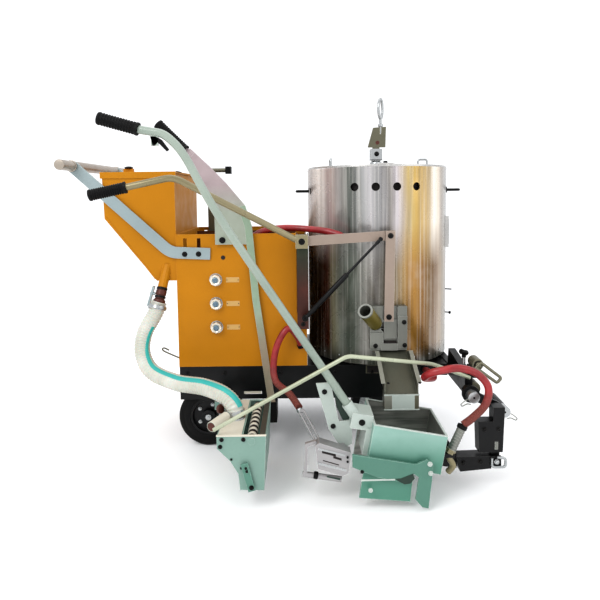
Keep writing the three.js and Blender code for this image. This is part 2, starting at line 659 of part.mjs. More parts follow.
function agitatorShaft() {
  const { x } = KETTLE;
  const { radius, foot, hub, hubTop, pivotZ } = SHAFT;
  const fork = cut(
    block(x - 20, x + 20, -19, 19, hub, hubTop),
    block(x - 21, x + 21, -6, 6, hub + 4, hubTop + 1),
    rod([x, -30, pivotZ], [x, 30, pivotZ], 5.5, 8),
  );
  const { low, middle, high, reach } = PADDLES;
  return join(
    rod([x, 0, foot], [x, 0, hub + 2], radius),
    fork,
    block(x - reach.low, x + reach.low, -4, 4, foot + low[0], foot + low[1]),
    block(x - 4, x + 4, -reach.middle, reach.middle, foot + middle[0], foot + middle[1]),
    block(x - reach.high, x + reach.high, -4, 4, foot + high[0], foot + high[1]),
  );
}

function crankArm() {
  const { x } = KETTLE;
  const { pivotZ } = SHAFT;
  const { halfThick, pin, shoulder, top, eyeOffset, eyeFoot } = CRANK;
  const outline = [
    [x - 12, pivotZ - 10], [x + 12, pivotZ - 10], [x + 12, shoulder], [x + 33, shoulder], [x + 35, top],
    [x - 10, top - 3], [x - 29, shoulder], [x - 12, shoulder],
  ];
  const body = join(sidePlate(outline, -halfThick, halfThick), rod([x, -24, pivotZ], [x, 24, pivotZ], pin, 8));
  return cut(body, rod([x + eyeOffset, 0, eyeFoot - 2], [x + eyeOffset, 0, top + 3], EYE.wire + 1, 8));
}

function crankEye() {
  const x = KETTLE.x + CRANK.eyeOffset;
  const { z, radius, wire, stretch, turn, shankTop } = EYE;
  const collar = CRANK.top + 1;
  const loop = new THREE.TorusGeometry(radius, wire, 8, 16).scale(1, stretch, 1).rotateX(Math.PI / 2);
  loop.rotateZ(THREE.MathUtils.degToRad(turn)).translate(x, 0, z);
  return join(
    loop,
    rod([x, 0, CRANK.eyeFoot], [x, 0, shankTop], wire, 8),
    rod([x, 0, collar], [x, 0, collar + 10], wire + 4, 8),
  );
}

function kettleBurner() {
  const { x } = KETTLE;
  const { inner, outer, low, high, legRing, leg, pipeZ, pipe, pipeReach } = BURNER;
  const ring = turned([[inner, low], [outer, low], [outer, high], [inner, high], [inner, low]], 20, x, 0);
  const legs = [0, 1, 2].map((i) => {
    const angle = (2 * Math.PI * i) / 3;
    const cx = x + legRing * Math.cos(angle);
    const cy = legRing * Math.sin(angle);
    return rod([cx, cy, DECK.top + GAP], [cx, cy, pipeZ], leg, 6);
  });
  return join(ring, rod([x - legRing + 2, 0, pipeZ], [x - pipeReach, 0, pipeZ], pipe, 10), ...legs);
}

function addKettle() {
  add(machine, 'kettle_shell', kettleShell(), 'stainless');
  add(machine, 'kettle_pot', kettlePot(), 'stainless');
  add(machine, 'kettle_lid_rear', kettleLid(-1), 'stainless');
  add(machine, 'kettle_lid_front', kettleLid(1), 'stainless');
  add(machine, 'lid_bridge', lidBridge(), 'stainless');
  add(machine, 'agitator_shaft', agitatorShaft(), 'brightSteel');
  add(machine, 'crank_arm', crankArm(), 'darkSteel');
  add(machine, 'crank_eye', crankEye(), 'brightSteel');
  add(machine, 'kettle_burner', kettleBurner(), 'darkSteel');
}

// ---------- outlet, gate and chute ----------
function outletHousing() {
  const { left, right, low, high, face, portZ, portRadius } = OUTLET;
  const { x, radius } = KETTLE;
  const body = join(
    block(left, right, face, -225, low, high),
    block(GATE.right + 3, right, face - 4, face + 1, low + 8, 454),
    block(left, GATE.left - 3, face - 4, face + 1, low + 8, 402),
    block(GATE.left - 3, GATE.right + 3, face - 4, face + 1, low, 366),
    rod(TUBE.from, TUBE.to, TUBE.outer, 14),
    rod([x, -230, portZ], [x, -POT.radius + 20, portZ], 27),
  );
  const tubeBore = rod(TUBE_BORE.from, TUBE_BORE.to, TUBE.bore, 14);
  const slot = block(GATE.left - 2, GATE.right + 2, face - 0.1, -252, 366, high + 1);
  const port = rod([x, face, portZ], [x, -POT.radius + 30, portZ], portRadius);
  const pot = rod([x, 0, low - 50], [x, 0, high + 50], POT.radius + GAP, KETTLE.sides);
  const skin = cut(
    rod([x, 0, low - 60], [x, 0, high + 60], radius + GAP, KETTLE.sides),
    rod([x, -radius - 10, portZ], [x, -100, portZ], 28),
  );
  return cut(body, tubeBore, slot, port, pot, skin);
}

function slideGate() {
  const { left, right, low, high, front, back } = GATE;
  const [pinX, pinZ] = LINK.low;
  return join(
    block(left, right, front, back, low, high),
    block(pinX - 11, pinX + 11, front, back, high - 2, pinZ + 12),
  );
}

function gateLink() {
  const { top, low, front, back, width } = LINK;
  const outline = bar([[top[0], top[1] + 14], [low[0], low[1] - 14]], width);
  const lowHole = rod([low[0], front - 5, low[1]], [low[0], back + 5, low[1]], 5, 8);
  const pin = rod([top[0], front - 1, top[1]], [top[0], FULCRUM.back - 0.5, top[1]], 6, 8);
  return cut(join(sidePlate(outline, front, back), pin), lowHole);
}

function gateLever() {
  const { at, boss, front, back } = FULCRUM;
  const [fx, fz] = at;
  const [tx, tz] = LINK.top;
  const y = (front + back) / 2;
  const { end, elbow, radius, bend, flatWidth } = GATE_LEVER;
  const pipe = bentPipe([end, elbow, [fx - 14, y, fz + 4]], radius, bend);
  const flat = cut(
    sidePlate(bar([[fx, fz], [tx + 14, tz + 1]], flatWidth), back - 6, back),
    rod([tx, front, tz], [tx, back + 12, tz], 7.5, 8),
  );
  return join(
    pipe,
    block(fx - boss, fx + boss, front, back, fz - boss - 2, fz + boss + 2),
    flat,
    rod([fx, back - 1, fz], [fx, -240, fz], 7, 8),
  );
}

function gripSleeve({ end, front, radius, bore }) {
  const start = new THREE.Vector3(...end);
  const inside = start.clone().lerp(new THREE.Vector3(...front), 0.1).toArray();
  const beyond = start.clone().lerp(new THREE.Vector3(...front), 1.1).toArray();
  return cut(rod(end, front, radius), rod(inside, beyond, bore));
}

function leverPost() {
  const { rear, front, web, low, high, sheet } = POST;
  const [fx, fz] = FULCRUM.at;
  const wall = -CABINET.half - GAP;
  const body = join(
    block(rear, front, web, web + sheet, low, high),
    block(rear, rear + sheet, web, wall, low, high),
    block(front - sheet, front, web, wall, low, high),
    block(rear, front, wall - sheet, wall, low, CABINET.notchZ - 4),
    rod([STRUT.foot[0], STRUT.y + 5, STRUT.foot[1]], [STRUT.foot[0], web + 1, STRUT.foot[1]], 5, 8),
  );
  return cut(body, rod([fx, web - 5, fz], [fx, web + 8, fz], 8.5, 8));
}

function strutPoint(fraction) {
  const [x0, z0] = STRUT.foot;
  const [x1, z1] = STRUT.head;
  return [x0 + (x1 - x0) * fraction, STRUT.y, z0 + (z1 - z0) * fraction];
}

function strutBody() {
  const [x, z] = STRUT.foot;
  const barrel = join(
    rod(strutPoint(0), strutPoint(0.56), STRUT.body),
    rod([x, STRUT.y - 6, z], [x, STRUT.y + 6, z], 10, 10),
  );
  return cut(
    barrel,
    rod([x, STRUT.y - 8, z], [x, STRUT.y + 8, z], 6.2, 8),
    rod(strutPoint(0.1), strutPoint(0.6), STRUT.rod + 0.8, 8),
  );
}

function strutRod() {
  const [x, z] = STRUT.head;
  return join(
    rod(strutPoint(0.3), strutPoint(1), STRUT.rod, 8),
    rod([x, STRUT.y - 6, z], [x, STRUT.y + 6, z], 9, 10),
  );
}

function outletChute() {
  const { left, right, top, low, back, lip, wall, rise, dropLow } = CHUTE;
  const floor = [[back, top - wall], [back, top], [lip, low + wall], [lip, low]];
  const cheek = [[OUTLET.face - 2, top - 12], [OUTLET.face - 2, top - 1], [-300, top + 10], [lip, low + rise], [lip, low]];
  const drop = cut(
    block(left, right, lip - 5, lip + 34, dropLow, low + 6),
    block(left + wall, right - wall, lip - 5 + wall, lip + 34 - wall, dropLow - 1, low + 10),
  );
  return join(
    crossPlate(floor, left, right),
    crossPlate(cheek, left, left + wall),
    crossPlate(cheek, right - wall, right),
    drop,
  );
}

function addGate() {
  add(machine, 'outlet_housing', outletHousing(), 'stainless');
  add(machine, 'slide_gate', slideGate(), 'stainless');
  add(machine, 'gate_link', gateLink(), 'pinkSteel');
  add(machine, 'gate_lever', gateLever(), 'zincYellow');
  add(machine, 'gate_lever_grip', gripSleeve(GATE_GRIP), 'rubber');
  add(machine, 'lever_post', leverPost(), 'darkSteel');
  add(machine, 'strut_body', strutBody(), 'blackPaint');
  add(machine, 'strut_rod', strutRod(), 'brightSteel');
  add(machine, 'outlet_chute', outletChute(), 'darkSteel');
}

// ---------- marking shoe ----------
// Shoe shapes are drawn level, with x from the box's rear edge and z from its rim, then tilted into place.
function onShoe(geometry) {
  return geometry.rotateY(SHOE_TILT).translate(SHOE.x, 0, SHOE.z);
}

function shoeBox() {
  const { length, depth, right, left, wall } = SHOE;
  const box = join(
    block(0, length, right, left, -depth, 0),
    sidePlate(SKID, right - 6, right + 1),
    sidePlate(SKID, left - 1, left + 6),
  );
  return onShoe(cut(
    box,
    block(wall, length - wall, right + wall, left - wall, wall - depth, 1),
    block(20, 74, right + 9, left - 9, -depth - 1, wall - depth + 1),
  ));
}

function shoeSidePlate() {
  const { x, z, radius } = SIDE_PLATE_PIVOT;
  const plate = join(
    sidePlate(SIDE_PLATE, SHOE.right - 18, SHOE.right - 12),
    rod([x, SHOE.right - 14, z], [x, SHOE.right - GAP, z], radius, 8),
  );
  return onShoe(plate);
}

// A rod on the lift lever's axis, between two distances below its foot.
function leverBore(radius, from, to) {
  const { y, foot, slope } = LIFT_LEVER;
  const along = new THREE.Vector3(slope[0], 0, slope[1]).normalize();
  const start = new THREE.Vector3(foot[0], y, foot[1]);
  const at = (distance) => start.clone().addScaledVector(along, distance).toArray();
  return rod(at(from), at(to), radius);
}

function shoeCarrier() {
  const clamp = join(
    block(-57, -GAP, -525, -450, -28, 14),
    block(-14, -GAP, -530, -440, -93, -20),
  );
  return cut(join(onShoe(clamp), sidePlate(HANGER, -486, -480)), leverBore(LIFT_LEVER.radius + 0.8, -40, 24));
}

function shoeLever() {
  const { y, radius, foot, bend } = LIFT_LEVER;
  const [px, pz] = TRIGGER.pivot;
  const { half, pin } = TRIGGER;
  const pipe = bentPipe([...LIFT_LEVER_TOP, foot].map(([x, z]) => [x, y, z]), radius, bend, 8, 18);
  const ear = sidePlate([[px - 10, pz - 8], [px - 10, pz + 32], [px + 10, pz + 30], [px + 10, pz - 8]], y - half, y + half);
  const hole = rod([px, y - half - 5, pz], [px, y + half + 5, pz], pin + 1.2, 8);
  return cut(join(pipe, leverBore(radius, -6, 20), ear), hole);
}

function leverTrigger() {
  const { y } = LIFT_LEVER;
  const { pivot, pin, half, blade, width } = TRIGGER;
  const [px, pz] = pivot;
  const slot = block(px - 24, px + 26, y - half - GAP, y + half + GAP, pz - 28, pz + 32);
  const plate = sidePlate(bar(blade, width), y - 2 * half, y + 2 * half);
  return join(cut(plate, slot), rod([px, y - 2 * half + 1, pz], [px, y + 2 * half - 1, pz], pin, 8));
}

function shoeBurner() {
  return join(
    sidePlate(SHOE_BURNER, -536, -500),
    sidePlate(bar(SHOE_BURNER_BRACKET, 9), -524, -512),
    rod([310, -518, 82], [416, -518, 66], 8, 10),
    ...LANCES.map(([from, to]) => rod(from, to, 3.5, 8)),
    rod([302, -406, 211], [318, -405, 212], 6, 8),
    rod([422, -502, 146], [422, -486 - GAP, 146], 7, 8),
  );
}

function towArm() {
  const { x, z, y, pin } = HITCH;
  const bracket = [[685.2, 140], [722, 140], [745, 100], [745, 62], [673.2, 72]];
  const cheek = [[826, z - 16], [x + 14, z - 14], [x + 14, z + 14], [826, z + 14]];
  return join(
    sidePlate(TOW_ARM, y - 20, y + 20),
    sidePlate(bracket, y - 6, y + 6),
    block(690, 722, y - 68, y + 4, 122, 132),
    sidePlate(cheek, y - 18, y - 11),
    sidePlate(cheek, y + 11, y + 18),
    rod([x, y - 24, z], [x, y + 24, z], pin, 8),
  );
}

function addShoe() {
  add(machine, 'shoe_box', shoeBox(), 'mintPaint');
  add(machine, 'shoe_side_plate', shoeSidePlate(), 'mintPaint');
  add(machine, 'shoe_lever', shoeLever(), 'palePaint');
  add(machine, 'shoe_lever_grip', gripSleeve(SHOE_GRIP), 'rubber');
  add(machine, 'lever_trigger', leverTrigger(), 'darkSteel');
  add(machine, 'shoe_carrier', shoeCarrier(), 'palePaint');
  add(machine, 'shoe_burner', shoeBurner(), 'brightSteel');
  add(machine, 'tow_arm', towArm(), 'blackPaint');
}

// ---------- front outrigger and tow gear ----------
function outriggerBeam() {
  const { rear, front, end } = OUTRIGGER;
  const guide = GUIDE_SHAFT;
  const { x, z, right, left, radius, bore } = SLEEVE;
  const sleeve = cut(
    join(rod([x, right, z], [x, left, z], radius), block(804, x + 2, right + 10, left - 14, z - 43, z - 5)),
    rod([x, right - 4, z], [x, left - 10, z], bore),
  );
  return join(
    crossPlate(OUTRIGGER_SIDE, rear, front),
    rod([guide.x, guide.right, guide.z], [guide.x, end + 2, guide.z], guide.radius, 14),
    sleeve,
  );
}

function towBracket() {
  const { x, z, radius, right, left } = TOW_SHAFT;
  const guide = GUIDE_SHAFT;
  const eye = (y0, y1, r) => rod([guide.x, y0, guide.z], [guide.x, y1, guide.z], r, 14);
  const lug = [[HITCH.x - 12, HITCH.z + 30], [HITCH.x - 12, HITCH.z - 12], [HITCH.x + 12, HITCH.z - 12],
    [HITCH.x + 12, HITCH.z + 30]];
  const whole = join(
    sidePlate(TOW_BRACKET, HITCH.y - 18, HITCH.y + 18),
    sidePlate(lug, HITCH.y - 8, HITCH.y + 8),
    rod([x, right, z], [x, left, z], radius, 14),
    sidePlate(bar([[guide.x, guide.z], [x, z]], 26), -425, -415),
    eye(-425, -415, 25),
  );
  return cut(
    whole,
    eye(-430, -410, guide.radius + 0.8),
    block(846, 857, HITCH.y - 30, HITCH.y + 30, 122, 144),
    rod([HITCH.x, HITCH.y - 12, HITCH.z], [HITCH.x, HITCH.y + 12, HITCH.z], HITCH.pin + 1, 8),
  );
}

function clampHandle() {
  const { x, z } = SLEEVE;
  const [first] = CLAMP_LOOP;
  const y = first[1];
  return join(
    bentPipe(CLAMP_LOOP, 4, 6, 6, 16),
    rod([x + 10, y, z + 10], [x - 9, y, z - 9], 4, 8),
    rod([x + 0.5, y, z + 0.5], [x + 0.5, y + 32, z + 0.5], 8, 10),
  );
}

function clampKnob() {
  const { x, y, low, high, stem, tee, grip } = CLAMP_KNOB;
  return join(rod([x, y, low], [x, y, high], stem, 8), rod(...tee, grip, 10));
}

function addTowGear() {
  add(machine, 'outrigger_beam', outriggerBeam(), 'blackPaint');
  add(machine, 'tow_bracket', towBracket(), 'blackPaint');
  add(machine, 'clamp_handle', clampHandle(), 'zincYellow');
  add(machine, 'clamp_knob', clampKnob(), 'rubber');
}

// ---------- bead dispenser ----------
function beadBox() {
  const { right, left, wall, rollerX, rollerZ } = BEAD_BOX;
  const { x: inletX, y: inletY, low, high, collar, bore } = INLET;
  const [armX, armZ] = GATE_ARM.pivot;
  const shell = cut(sidePlate(BEAD_BOX_SIDE, right, left), sidePlate(BEAD_BOX_HOLLOW, right + wall, left - wall));
  const whole = join(
    shell,
    rod([inletX, inletY, low], [inletX, inletY, high], collar, 14),
    rod(SIGHT_STUB.from, SIGHT_STUB.to, SIGHT_STUB.radius, 10),
    block(44, 90, left - 8, left, 180, 205),
    block(44, 70, left - 8, -CABINET.half - GAP, 180, 205),
  );
  return cut(
    whole,
    rod([inletX, inletY, low - 12], [inletX, inletY, high + 6], bore, 12),
    block(rollerX - 22, rollerX + 22, right + 8, left - 8, 190, 215),
    block(153, 203, right + 12, left - 12, 55, 68),
    rod([rollerX, right - 2, rollerZ], [rollerX, left + 2, rollerZ], 7.5, 10),
    rod([armX, right - 2, armZ], [armX, right + 5, armZ], GATE_ARM.pin + 1, 8),
  );
}

function beadRoller() {
  const { right, left, rollerX, rollerZ, rollerRadius } = BEAD_BOX;
  const flutes = circle(1, 32).map(([u, v], i) => {
    const r = i % 4 < 2 ? rollerRadius : rollerRadius - 4;
    return [rollerX + r * u, rollerZ + r * v];
  });
  const shaft = rod([rollerX, right - 4, rollerZ], [rollerX, left + 6, rollerZ], 6, 10);
  return join(sidePlate(flutes, right + 10, left - 10), shaft);
}

function beadGateArm() {
  const y = BEAD_BOX.right;
  const { pivot, pin, line, width, slot } = GATE_ARM;
  const [x, z] = pivot;
  return cut(
    join(sidePlate(bar(line, width), y - 11, y - 6), rod([x, y - 8, z], [x, y + 8, z], pin, 8)),
    sidePlate(bar(slot, 6), y - 12, y - 5),
  );
}

function braceRod() {
  const y = BEAD_BOX.right - 8;
  const { foot, bend, elbow, end, radius } = BRACE;
  return bentPipe([[foot[0], y, foot[1]], [bend[0], y, bend[1]], elbow, end], radius, 14, 6, 20);
}

function addBeadDispenser() {
  add(machine, 'bead_box', beadBox(), 'mintPaint');
  add(machine, 'bead_roller', beadRoller(), 'darkSteel');
  add(machine, 'bead_gate_arm', beadGateArm(), 'mintPaint');
  add(machine, 'brace_rod', braceRod(), 'zincYellow');
}

// ---------- gas hoses ----------
function addHoses() {
  for (const [name, points] of Object.entries(HOSES)) {
    add(machine, name, hose(points, GAS_HOSE.radius, GAS_HOSE.sides, points.length * 2), 'redHose');
  }
}

machine.position.set(-ORIGIN.x, -ORIGIN.y, 0);

addRunningGear();
addCabinet();
addBeadSupply();
addHandles();
addKettle();
addGate();
addShoe();
addTowGear();
addBeadDispenser();
addHoses();

export default machine;
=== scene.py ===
"""Looks of the line striping machine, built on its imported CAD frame."""
import math

import bmesh
import bpy
from mathutils import Matrix, Vector


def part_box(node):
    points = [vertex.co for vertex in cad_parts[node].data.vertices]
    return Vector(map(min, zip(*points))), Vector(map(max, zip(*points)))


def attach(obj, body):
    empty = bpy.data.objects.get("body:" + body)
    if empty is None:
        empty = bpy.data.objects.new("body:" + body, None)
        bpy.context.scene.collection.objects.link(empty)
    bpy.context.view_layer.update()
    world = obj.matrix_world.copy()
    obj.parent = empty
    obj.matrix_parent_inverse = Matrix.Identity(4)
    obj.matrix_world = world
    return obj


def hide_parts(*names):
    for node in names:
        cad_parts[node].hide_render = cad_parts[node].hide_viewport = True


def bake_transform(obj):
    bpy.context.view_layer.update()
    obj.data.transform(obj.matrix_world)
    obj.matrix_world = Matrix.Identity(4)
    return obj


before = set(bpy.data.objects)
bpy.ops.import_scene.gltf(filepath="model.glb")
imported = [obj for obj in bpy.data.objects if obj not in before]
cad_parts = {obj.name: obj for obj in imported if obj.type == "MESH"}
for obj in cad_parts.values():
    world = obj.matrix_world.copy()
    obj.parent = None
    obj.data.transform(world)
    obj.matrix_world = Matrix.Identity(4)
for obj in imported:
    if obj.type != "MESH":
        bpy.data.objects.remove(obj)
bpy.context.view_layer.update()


def middle(node):
    low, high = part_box(node)
    return (low + high) / 2


# Shapes are written in millimetres from the ground point below the rear axle's middle.
AXLE = middle("rear_axle")
FROM_AXLE = Matrix.Translation((AXLE.x, AXLE.y, 0)) @ Matrix.Scale(0.001, 4)


def at(x, y, z):
    return FROM_AXLE @ Vector((x, y, z))


def span(node):
    """A CAD node's box in the same millimetres."""
    back = FROM_AXLE.inverted()
    low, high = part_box(node)
    return back @ low, back @ high


# Directions on the machine.
RIGHT, LEFT, UP, REAR = (0, -1, 0), (0, 1, 0), (0, 0, 1), (-1, 0, 0)

# Driving sizes in millimetres.
SIDE = 200  # half the width of the deck and the cabinet
AXLE_Z = 100
SKIRT_BOLT_Z = 258
KNOB_X, KNOB_ZS = 39, (565, 488, 411)
ARM_BOLT_XS, ARM_BOLT_Z = (-57, -13), 649
CROSSBAR = (-405, 932)
KETTLE_X, KETTLE_R, RIVET_R, LID_R, BURNER_R = 581, 240, 240.4, 238, 102
LID_Z = 922.6
VENT_Z, PORT_Z = 856, 420
FULCRUM, LINK_TOP, LINK_LOW = (316, 691), (588, 706), (583, 454)
LIFT_Y, LIFT_FOOT, LIFT_SLOPE = -500, (449, -500, 245), (492, 0, -746)
TOW_SHAFT, GUIDE_SHAFT = (880, 220), (793, 262)
BEAD_BOX_FACE, ROLLER = -560, (178, 194)
CAMERA_AT, CAMERA_DOWN, CAMERA_ROLL = (311, -1950, 838), math.radians(4.5), -0.0115

# Heights in metres between which one colour turns into the next. On the kettle the painted reflections turn
# darker below with painted shade, and its foot gets painted shade.
KETTLE_REFLECTION_FADE, KETTLE_FOOT_SHADE_FADE = (0.74, 0.60), (0.345, 0.30)
# The shoe's pair gives the heights where its paint darkens with painted shade towards the bottom.
BRAID_FADE, GRIME_FADE, SHOE_SHADE_FADE = (0.30, 0.245), (0.42, 0.52), (0.20, 0.12)


def around(count, offset=0.0):
    """Equal angles around a circle."""
    return [2 * math.pi * (i + offset) / count for i in range(count)]


def circle(centre, side, up, radius, sides):
    """Points around a centre, from side towards up."""
    return [centre + (side * math.cos(a) + up * math.sin(a)) * radius for a in around(sides)]


# ---------- materials ----------
def rgb(code):
    def linear(c):
        c /= 255
        return c / 12.92 if c <= 0.04045 else ((c + 0.055) / 1.055) ** 2.4

    return tuple(linear(int(code[i : i + 2], 16)) for i in (0, 2, 4)) + (1.0,)


class Graph:
    """A material's node tree, with short calls for the nodes used here."""

    def __init__(self, name):
        self.material = bpy.data.materials.new(name)
        self.material.use_nodes = True
        self.tree = self.material.node_tree
        self.tree.nodes.clear()
        self.place = self.node("ShaderNodeTexCoord").outputs["Object"]

    def node(self, kind, **settings):
        made = self.tree.nodes.new(kind)
        for key, value in settings.items():
            setattr(made, key, value)
        return made

    def put(self, socket, value):
        if isinstance(value, bpy.types.NodeSocket):
            self.tree.links.new(value, socket)
        else:
            socket.default_value = value

    def noise(self, scale, detail, stretch=None):
        made = self.node("ShaderNodeTexNoise")
        where = self.place
        if stretch:
            scaled = self.node("ShaderNodeVectorMath", operation="MULTIPLY")
            self.put(scaled.inputs[0], where)
            scaled.inputs[1].default_value = stretch
            where = scaled.outputs[0]
        self.put(made.inputs["Vector"], where)
        made.inputs["Scale"].default_value = scale
        made.inputs["Detail"].default_value = detail
        made.inputs["Roughness"].default_value = 0.55
        return made.outputs["Fac"]

    def ramp(self, factor, *stops):
        made = self.node("ShaderNodeValToRGB")
        points = made.color_ramp.elements
        for point, (where, colour) in zip((points[0], points[-1]), (stops[0], stops[-1])):
            point.position, point.color = where, colour
        for where, colour in stops[1:-1]:
            points.new(where).color = colour
        self.put(made.inputs[0], factor)
        return made.outputs[0]

    def level(self, factor, low, high, start=0.0, end=1.0):
        made = self.node("ShaderNodeMapRange")
        self.put(made.inputs[0], factor)
        for i, value in enumerate((low, high, start, end), 1):
            made.inputs[i].default_value = value
        return made.outputs[0]

    def mix(self, factor, first, second):
        made = self.node("ShaderNodeMix", data_type="RGBA")
        self.put(made.inputs[0], factor)
        self.put(made.inputs[6], first)
        self.put(made.inputs[7], second)
        return made.outputs[2]

    def math(self, operation, first, second=0.0):
        made = self.node("ShaderNodeMath", operation=operation)
        self.put(made.inputs[0], first)
        self.put(made.inputs[1], second)
        return made.outputs[0]

    def edges(self, width=0.0022):
        """1 close to a sharp edge, 0 elsewhere."""
        soft = self.node("ShaderNodeBevel", samples=4)
        soft.inputs["Radius"].default_value = width
        flat = self.node("ShaderNodeNewGeometry").outputs["True Normal"]
        both = self.node("ShaderNodeVectorMath", operation="DOT_PRODUCT")
        self.put(both.inputs[0], soft.outputs[0])
        self.put(both.inputs[1], flat)
        return self.level(both.outputs["Value"], 0.98, 0.8)

    def parts(self, vector):
        made = self.node("ShaderNodeSeparateXYZ")
        self.put(made.inputs[0], vector)
        return made.outputs

    def height(self):
        return self.parts(self.place)[2]

    def finish(
        self, colour, roughness, metallic, bump=None, strength=0.2, depth=0.0004, coat=0.0, extra=None
    ):
        """Joins the looks into one shader; the bump's depth is in metres."""
        skin = self.node("ShaderNodeBsdfPrincipled")
        self.put(skin.inputs["Base Color"], colour)
        self.put(skin.inputs["Roughness"], roughness)
        self.put(skin.inputs["Metallic"], metallic)
        skin.inputs["Coat Weight"].default_value = coat
        skin.inputs["Coat Roughness"].default_value = 0.12
        for name, value in (extra or {}).items():
            self.put(skin.inputs[name], value)
        if bump is not None:
            made = self.node("ShaderNodeBump")
            made.inputs["Strength"].default_value = strength
            made.inputs["Distance"].default_value = depth
            self.put(made.inputs["Height"], bump)
            self.put(skin.inputs["Normal"], made.outputs[0])
        out = self.node("ShaderNodeOutputMaterial")
        self.put(out.inputs[0], skin.outputs[0])
        return self.material


def surface(name, base, shade, rough, metallic=0.0, worn=None, coat=0.0, stretch=None, shine=0.5):
    """Paint or metal: mottled colour, uneven gloss, fine grain, and wear on its edges."""
    g = Graph(name)
    patches = g.level(g.noise(4, 3), 0.3, 0.72, 0.0, 0.6)
    colour = g.mix(patches, rgb(base), rgb(shade))
    fine = g.noise(140, 6, stretch)
    colour = g.mix(g.level(fine, 0.5, 0.8, 0.0, 0.2), colour, rgb(shade))
    chips = g.math("MULTIPLY", g.edges(), g.level(g.noise(38, 3), 0.35, 0.6, 0.15, 0.85))
    colour = g.mix(chips, colour, rgb(worn or base))
    uneven = g.level(g.noise(24, 4), 0.3, 0.75, rough - 0.07, rough + 0.1)
    gloss = g.math("ADD", uneven, g.level(chips, 0, 1, 0, 0.1))
    return g.finish(colour, gloss, metallic, fine, 0.15, coat=coat, extra={"Specular IOR Level": shine})


# Painted reflections on the kettle, in upright bands: angle in degrees from -Y towards +X, colour of the
# upper half, colour of the lower half. The lower colours are darker with painted shade and hold a painted
# reflection of the cabinet's dark front.
KETTLE_REFLECTION_BANDS = [
    (-170, "8f8c88", "6d6a63"), (-140, "c4c0bb", "8d8a80"), (-115, "9b9793", "6a665d"),
    (-95, "b6b2ae", "8e8b7c"), (-80, "b3aaa5", "060303"), (-66, "c9bdb6", "0b0102"),
    (-60, "fbf8f5", "140202"), (-54, "eceae8", "2a0302"), (-48, "b9abab", "491500"),
    (-43, "b0a39e", "8f8a70"), (-36, "8f8b88", "767a70"), (-29, "565a54", "4a5046"),
    (-23, "6e6f6c", "5c6057"), (-18, "999998", "808079"), (-13, "b0adae", "9a9791"),
    (-8, "908f8e", "66625e"), (-3, "868485", "6a665c"), (2, "7f7a75", "7c6f58"),
    (7, "c4bdc0", "8f7d62"), (12, "b5a694", "a3885c"), (17, "bda56c", "ad7f36"),
    (23, "bf9f5c", "9d7433"), (29, "c2a672", "87602b"), (35, "bda478", "785a2e"),
    (41, "f4ece0", "6e5230"), (47, "e9dccb", "8d7660"), (52, "aca399", "a08c74"),
    (64, "a6a5a3", "90887c"), (80, "b5b1ac", "7f7b71"), (120, "d0cdc8", "99958b"),
    (150, "96928d", "6c685f"), (172, "8f8c88", "6d6a63"),
]


def kettle_painted_reflections():
    """Polished sheet with painted reflections in upright bands: cool greys, a white stripe and a warm gold
    side; painted shade darkens the lower half and the foot.
    """
    g = Graph("kettle_painted_reflections")
    centre = middle("kettle_pot")
    moved = g.node("ShaderNodeVectorMath", operation="SUBTRACT")
    g.put(moved.inputs[0], g.place)
    moved.inputs[1].default_value = centre
    parts = g.parts(moved.outputs[0])
    across, deep = parts[0], g.math("MULTIPLY", parts[1], -1.0)
    # The angle runs from 0 at the back, through 0.5 at the right-hand side, to 1 at the back.
    angle = g.level(g.math("ARCTAN2", across, deep), -math.pi, math.pi)
    wobble = g.level(g.noise(3.0, 3, (1, 1, 0.7)), 0.3, 0.7, -0.006, 0.006)
    angle = g.math("ADD", angle, wobble)
    # upper and lower hold the painted reflection colours; the lower ones are darker with painted shade.
    upper = g.ramp(angle, *[((a + 180) / 360, rgb(c)) for a, c, _ in KETTLE_REFLECTION_BANDS])
    lower = g.ramp(angle, *[((a + 180) / 360, rgb(c)) for a, _, c in KETTLE_REFLECTION_BANDS])
    height = g.height()
    colour = g.mix(g.level(height, *KETTLE_REFLECTION_FADE), upper, lower)
    # Painted shade at the kettle's foot.
    colour = g.mix(g.level(height, *KETTLE_FOOT_SHADE_FADE), colour, rgb("4b4c42"))
    streaks = g.noise(60, 5, (1, 1, 0.03))
    colour = g.mix(g.level(streaks, 0.5, 0.72, 0, 0.4), colour, rgb("4e4a45"))
    fine = g.noise(150, 4, (1, 1, 0.012))
    colour = g.mix(g.level(fine, 0.5, 0.7, 0, 0.35), colour, rgb("dedad4"))
    smudge = g.noise(10, 5)
    colour = g.mix(g.level(smudge, 0.56, 0.8, 0, 0.2), colour, rgb("d8d4cc"))
    gloss = g.level(smudge, 0.3, 0.7, 0.2, 0.34)
    return g.finish(colour, gloss, 0.35, streaks, 0.03)


def clear_hose():
    """Milky reinforced hose; the coiled rib is in its mesh, the coloured stripe is its own strip."""
    g = Graph("clear_hose")
    colour = g.mix(g.level(g.noise(11, 4), 0.35, 0.7), rgb("c9c8bf"), rgb("acaea0"))
    grime = g.math("MULTIPLY", g.noise(22, 5), g.level(g.height(), *GRIME_FADE, 0.25, 1.0))
    colour = g.mix(g.level(grime, 0.35, 0.75), colour, rgb("6b5a4a"))
    gloss = g.level(g.noise(40, 3), 0.3, 0.7, 0.22, 0.4)
    depth = {"Subsurface Weight": 0.15, "Subsurface Scale": 0.01}
    return g.finish(colour, gloss, 0.0, g.noise(300, 3), 0.1, extra=depth)


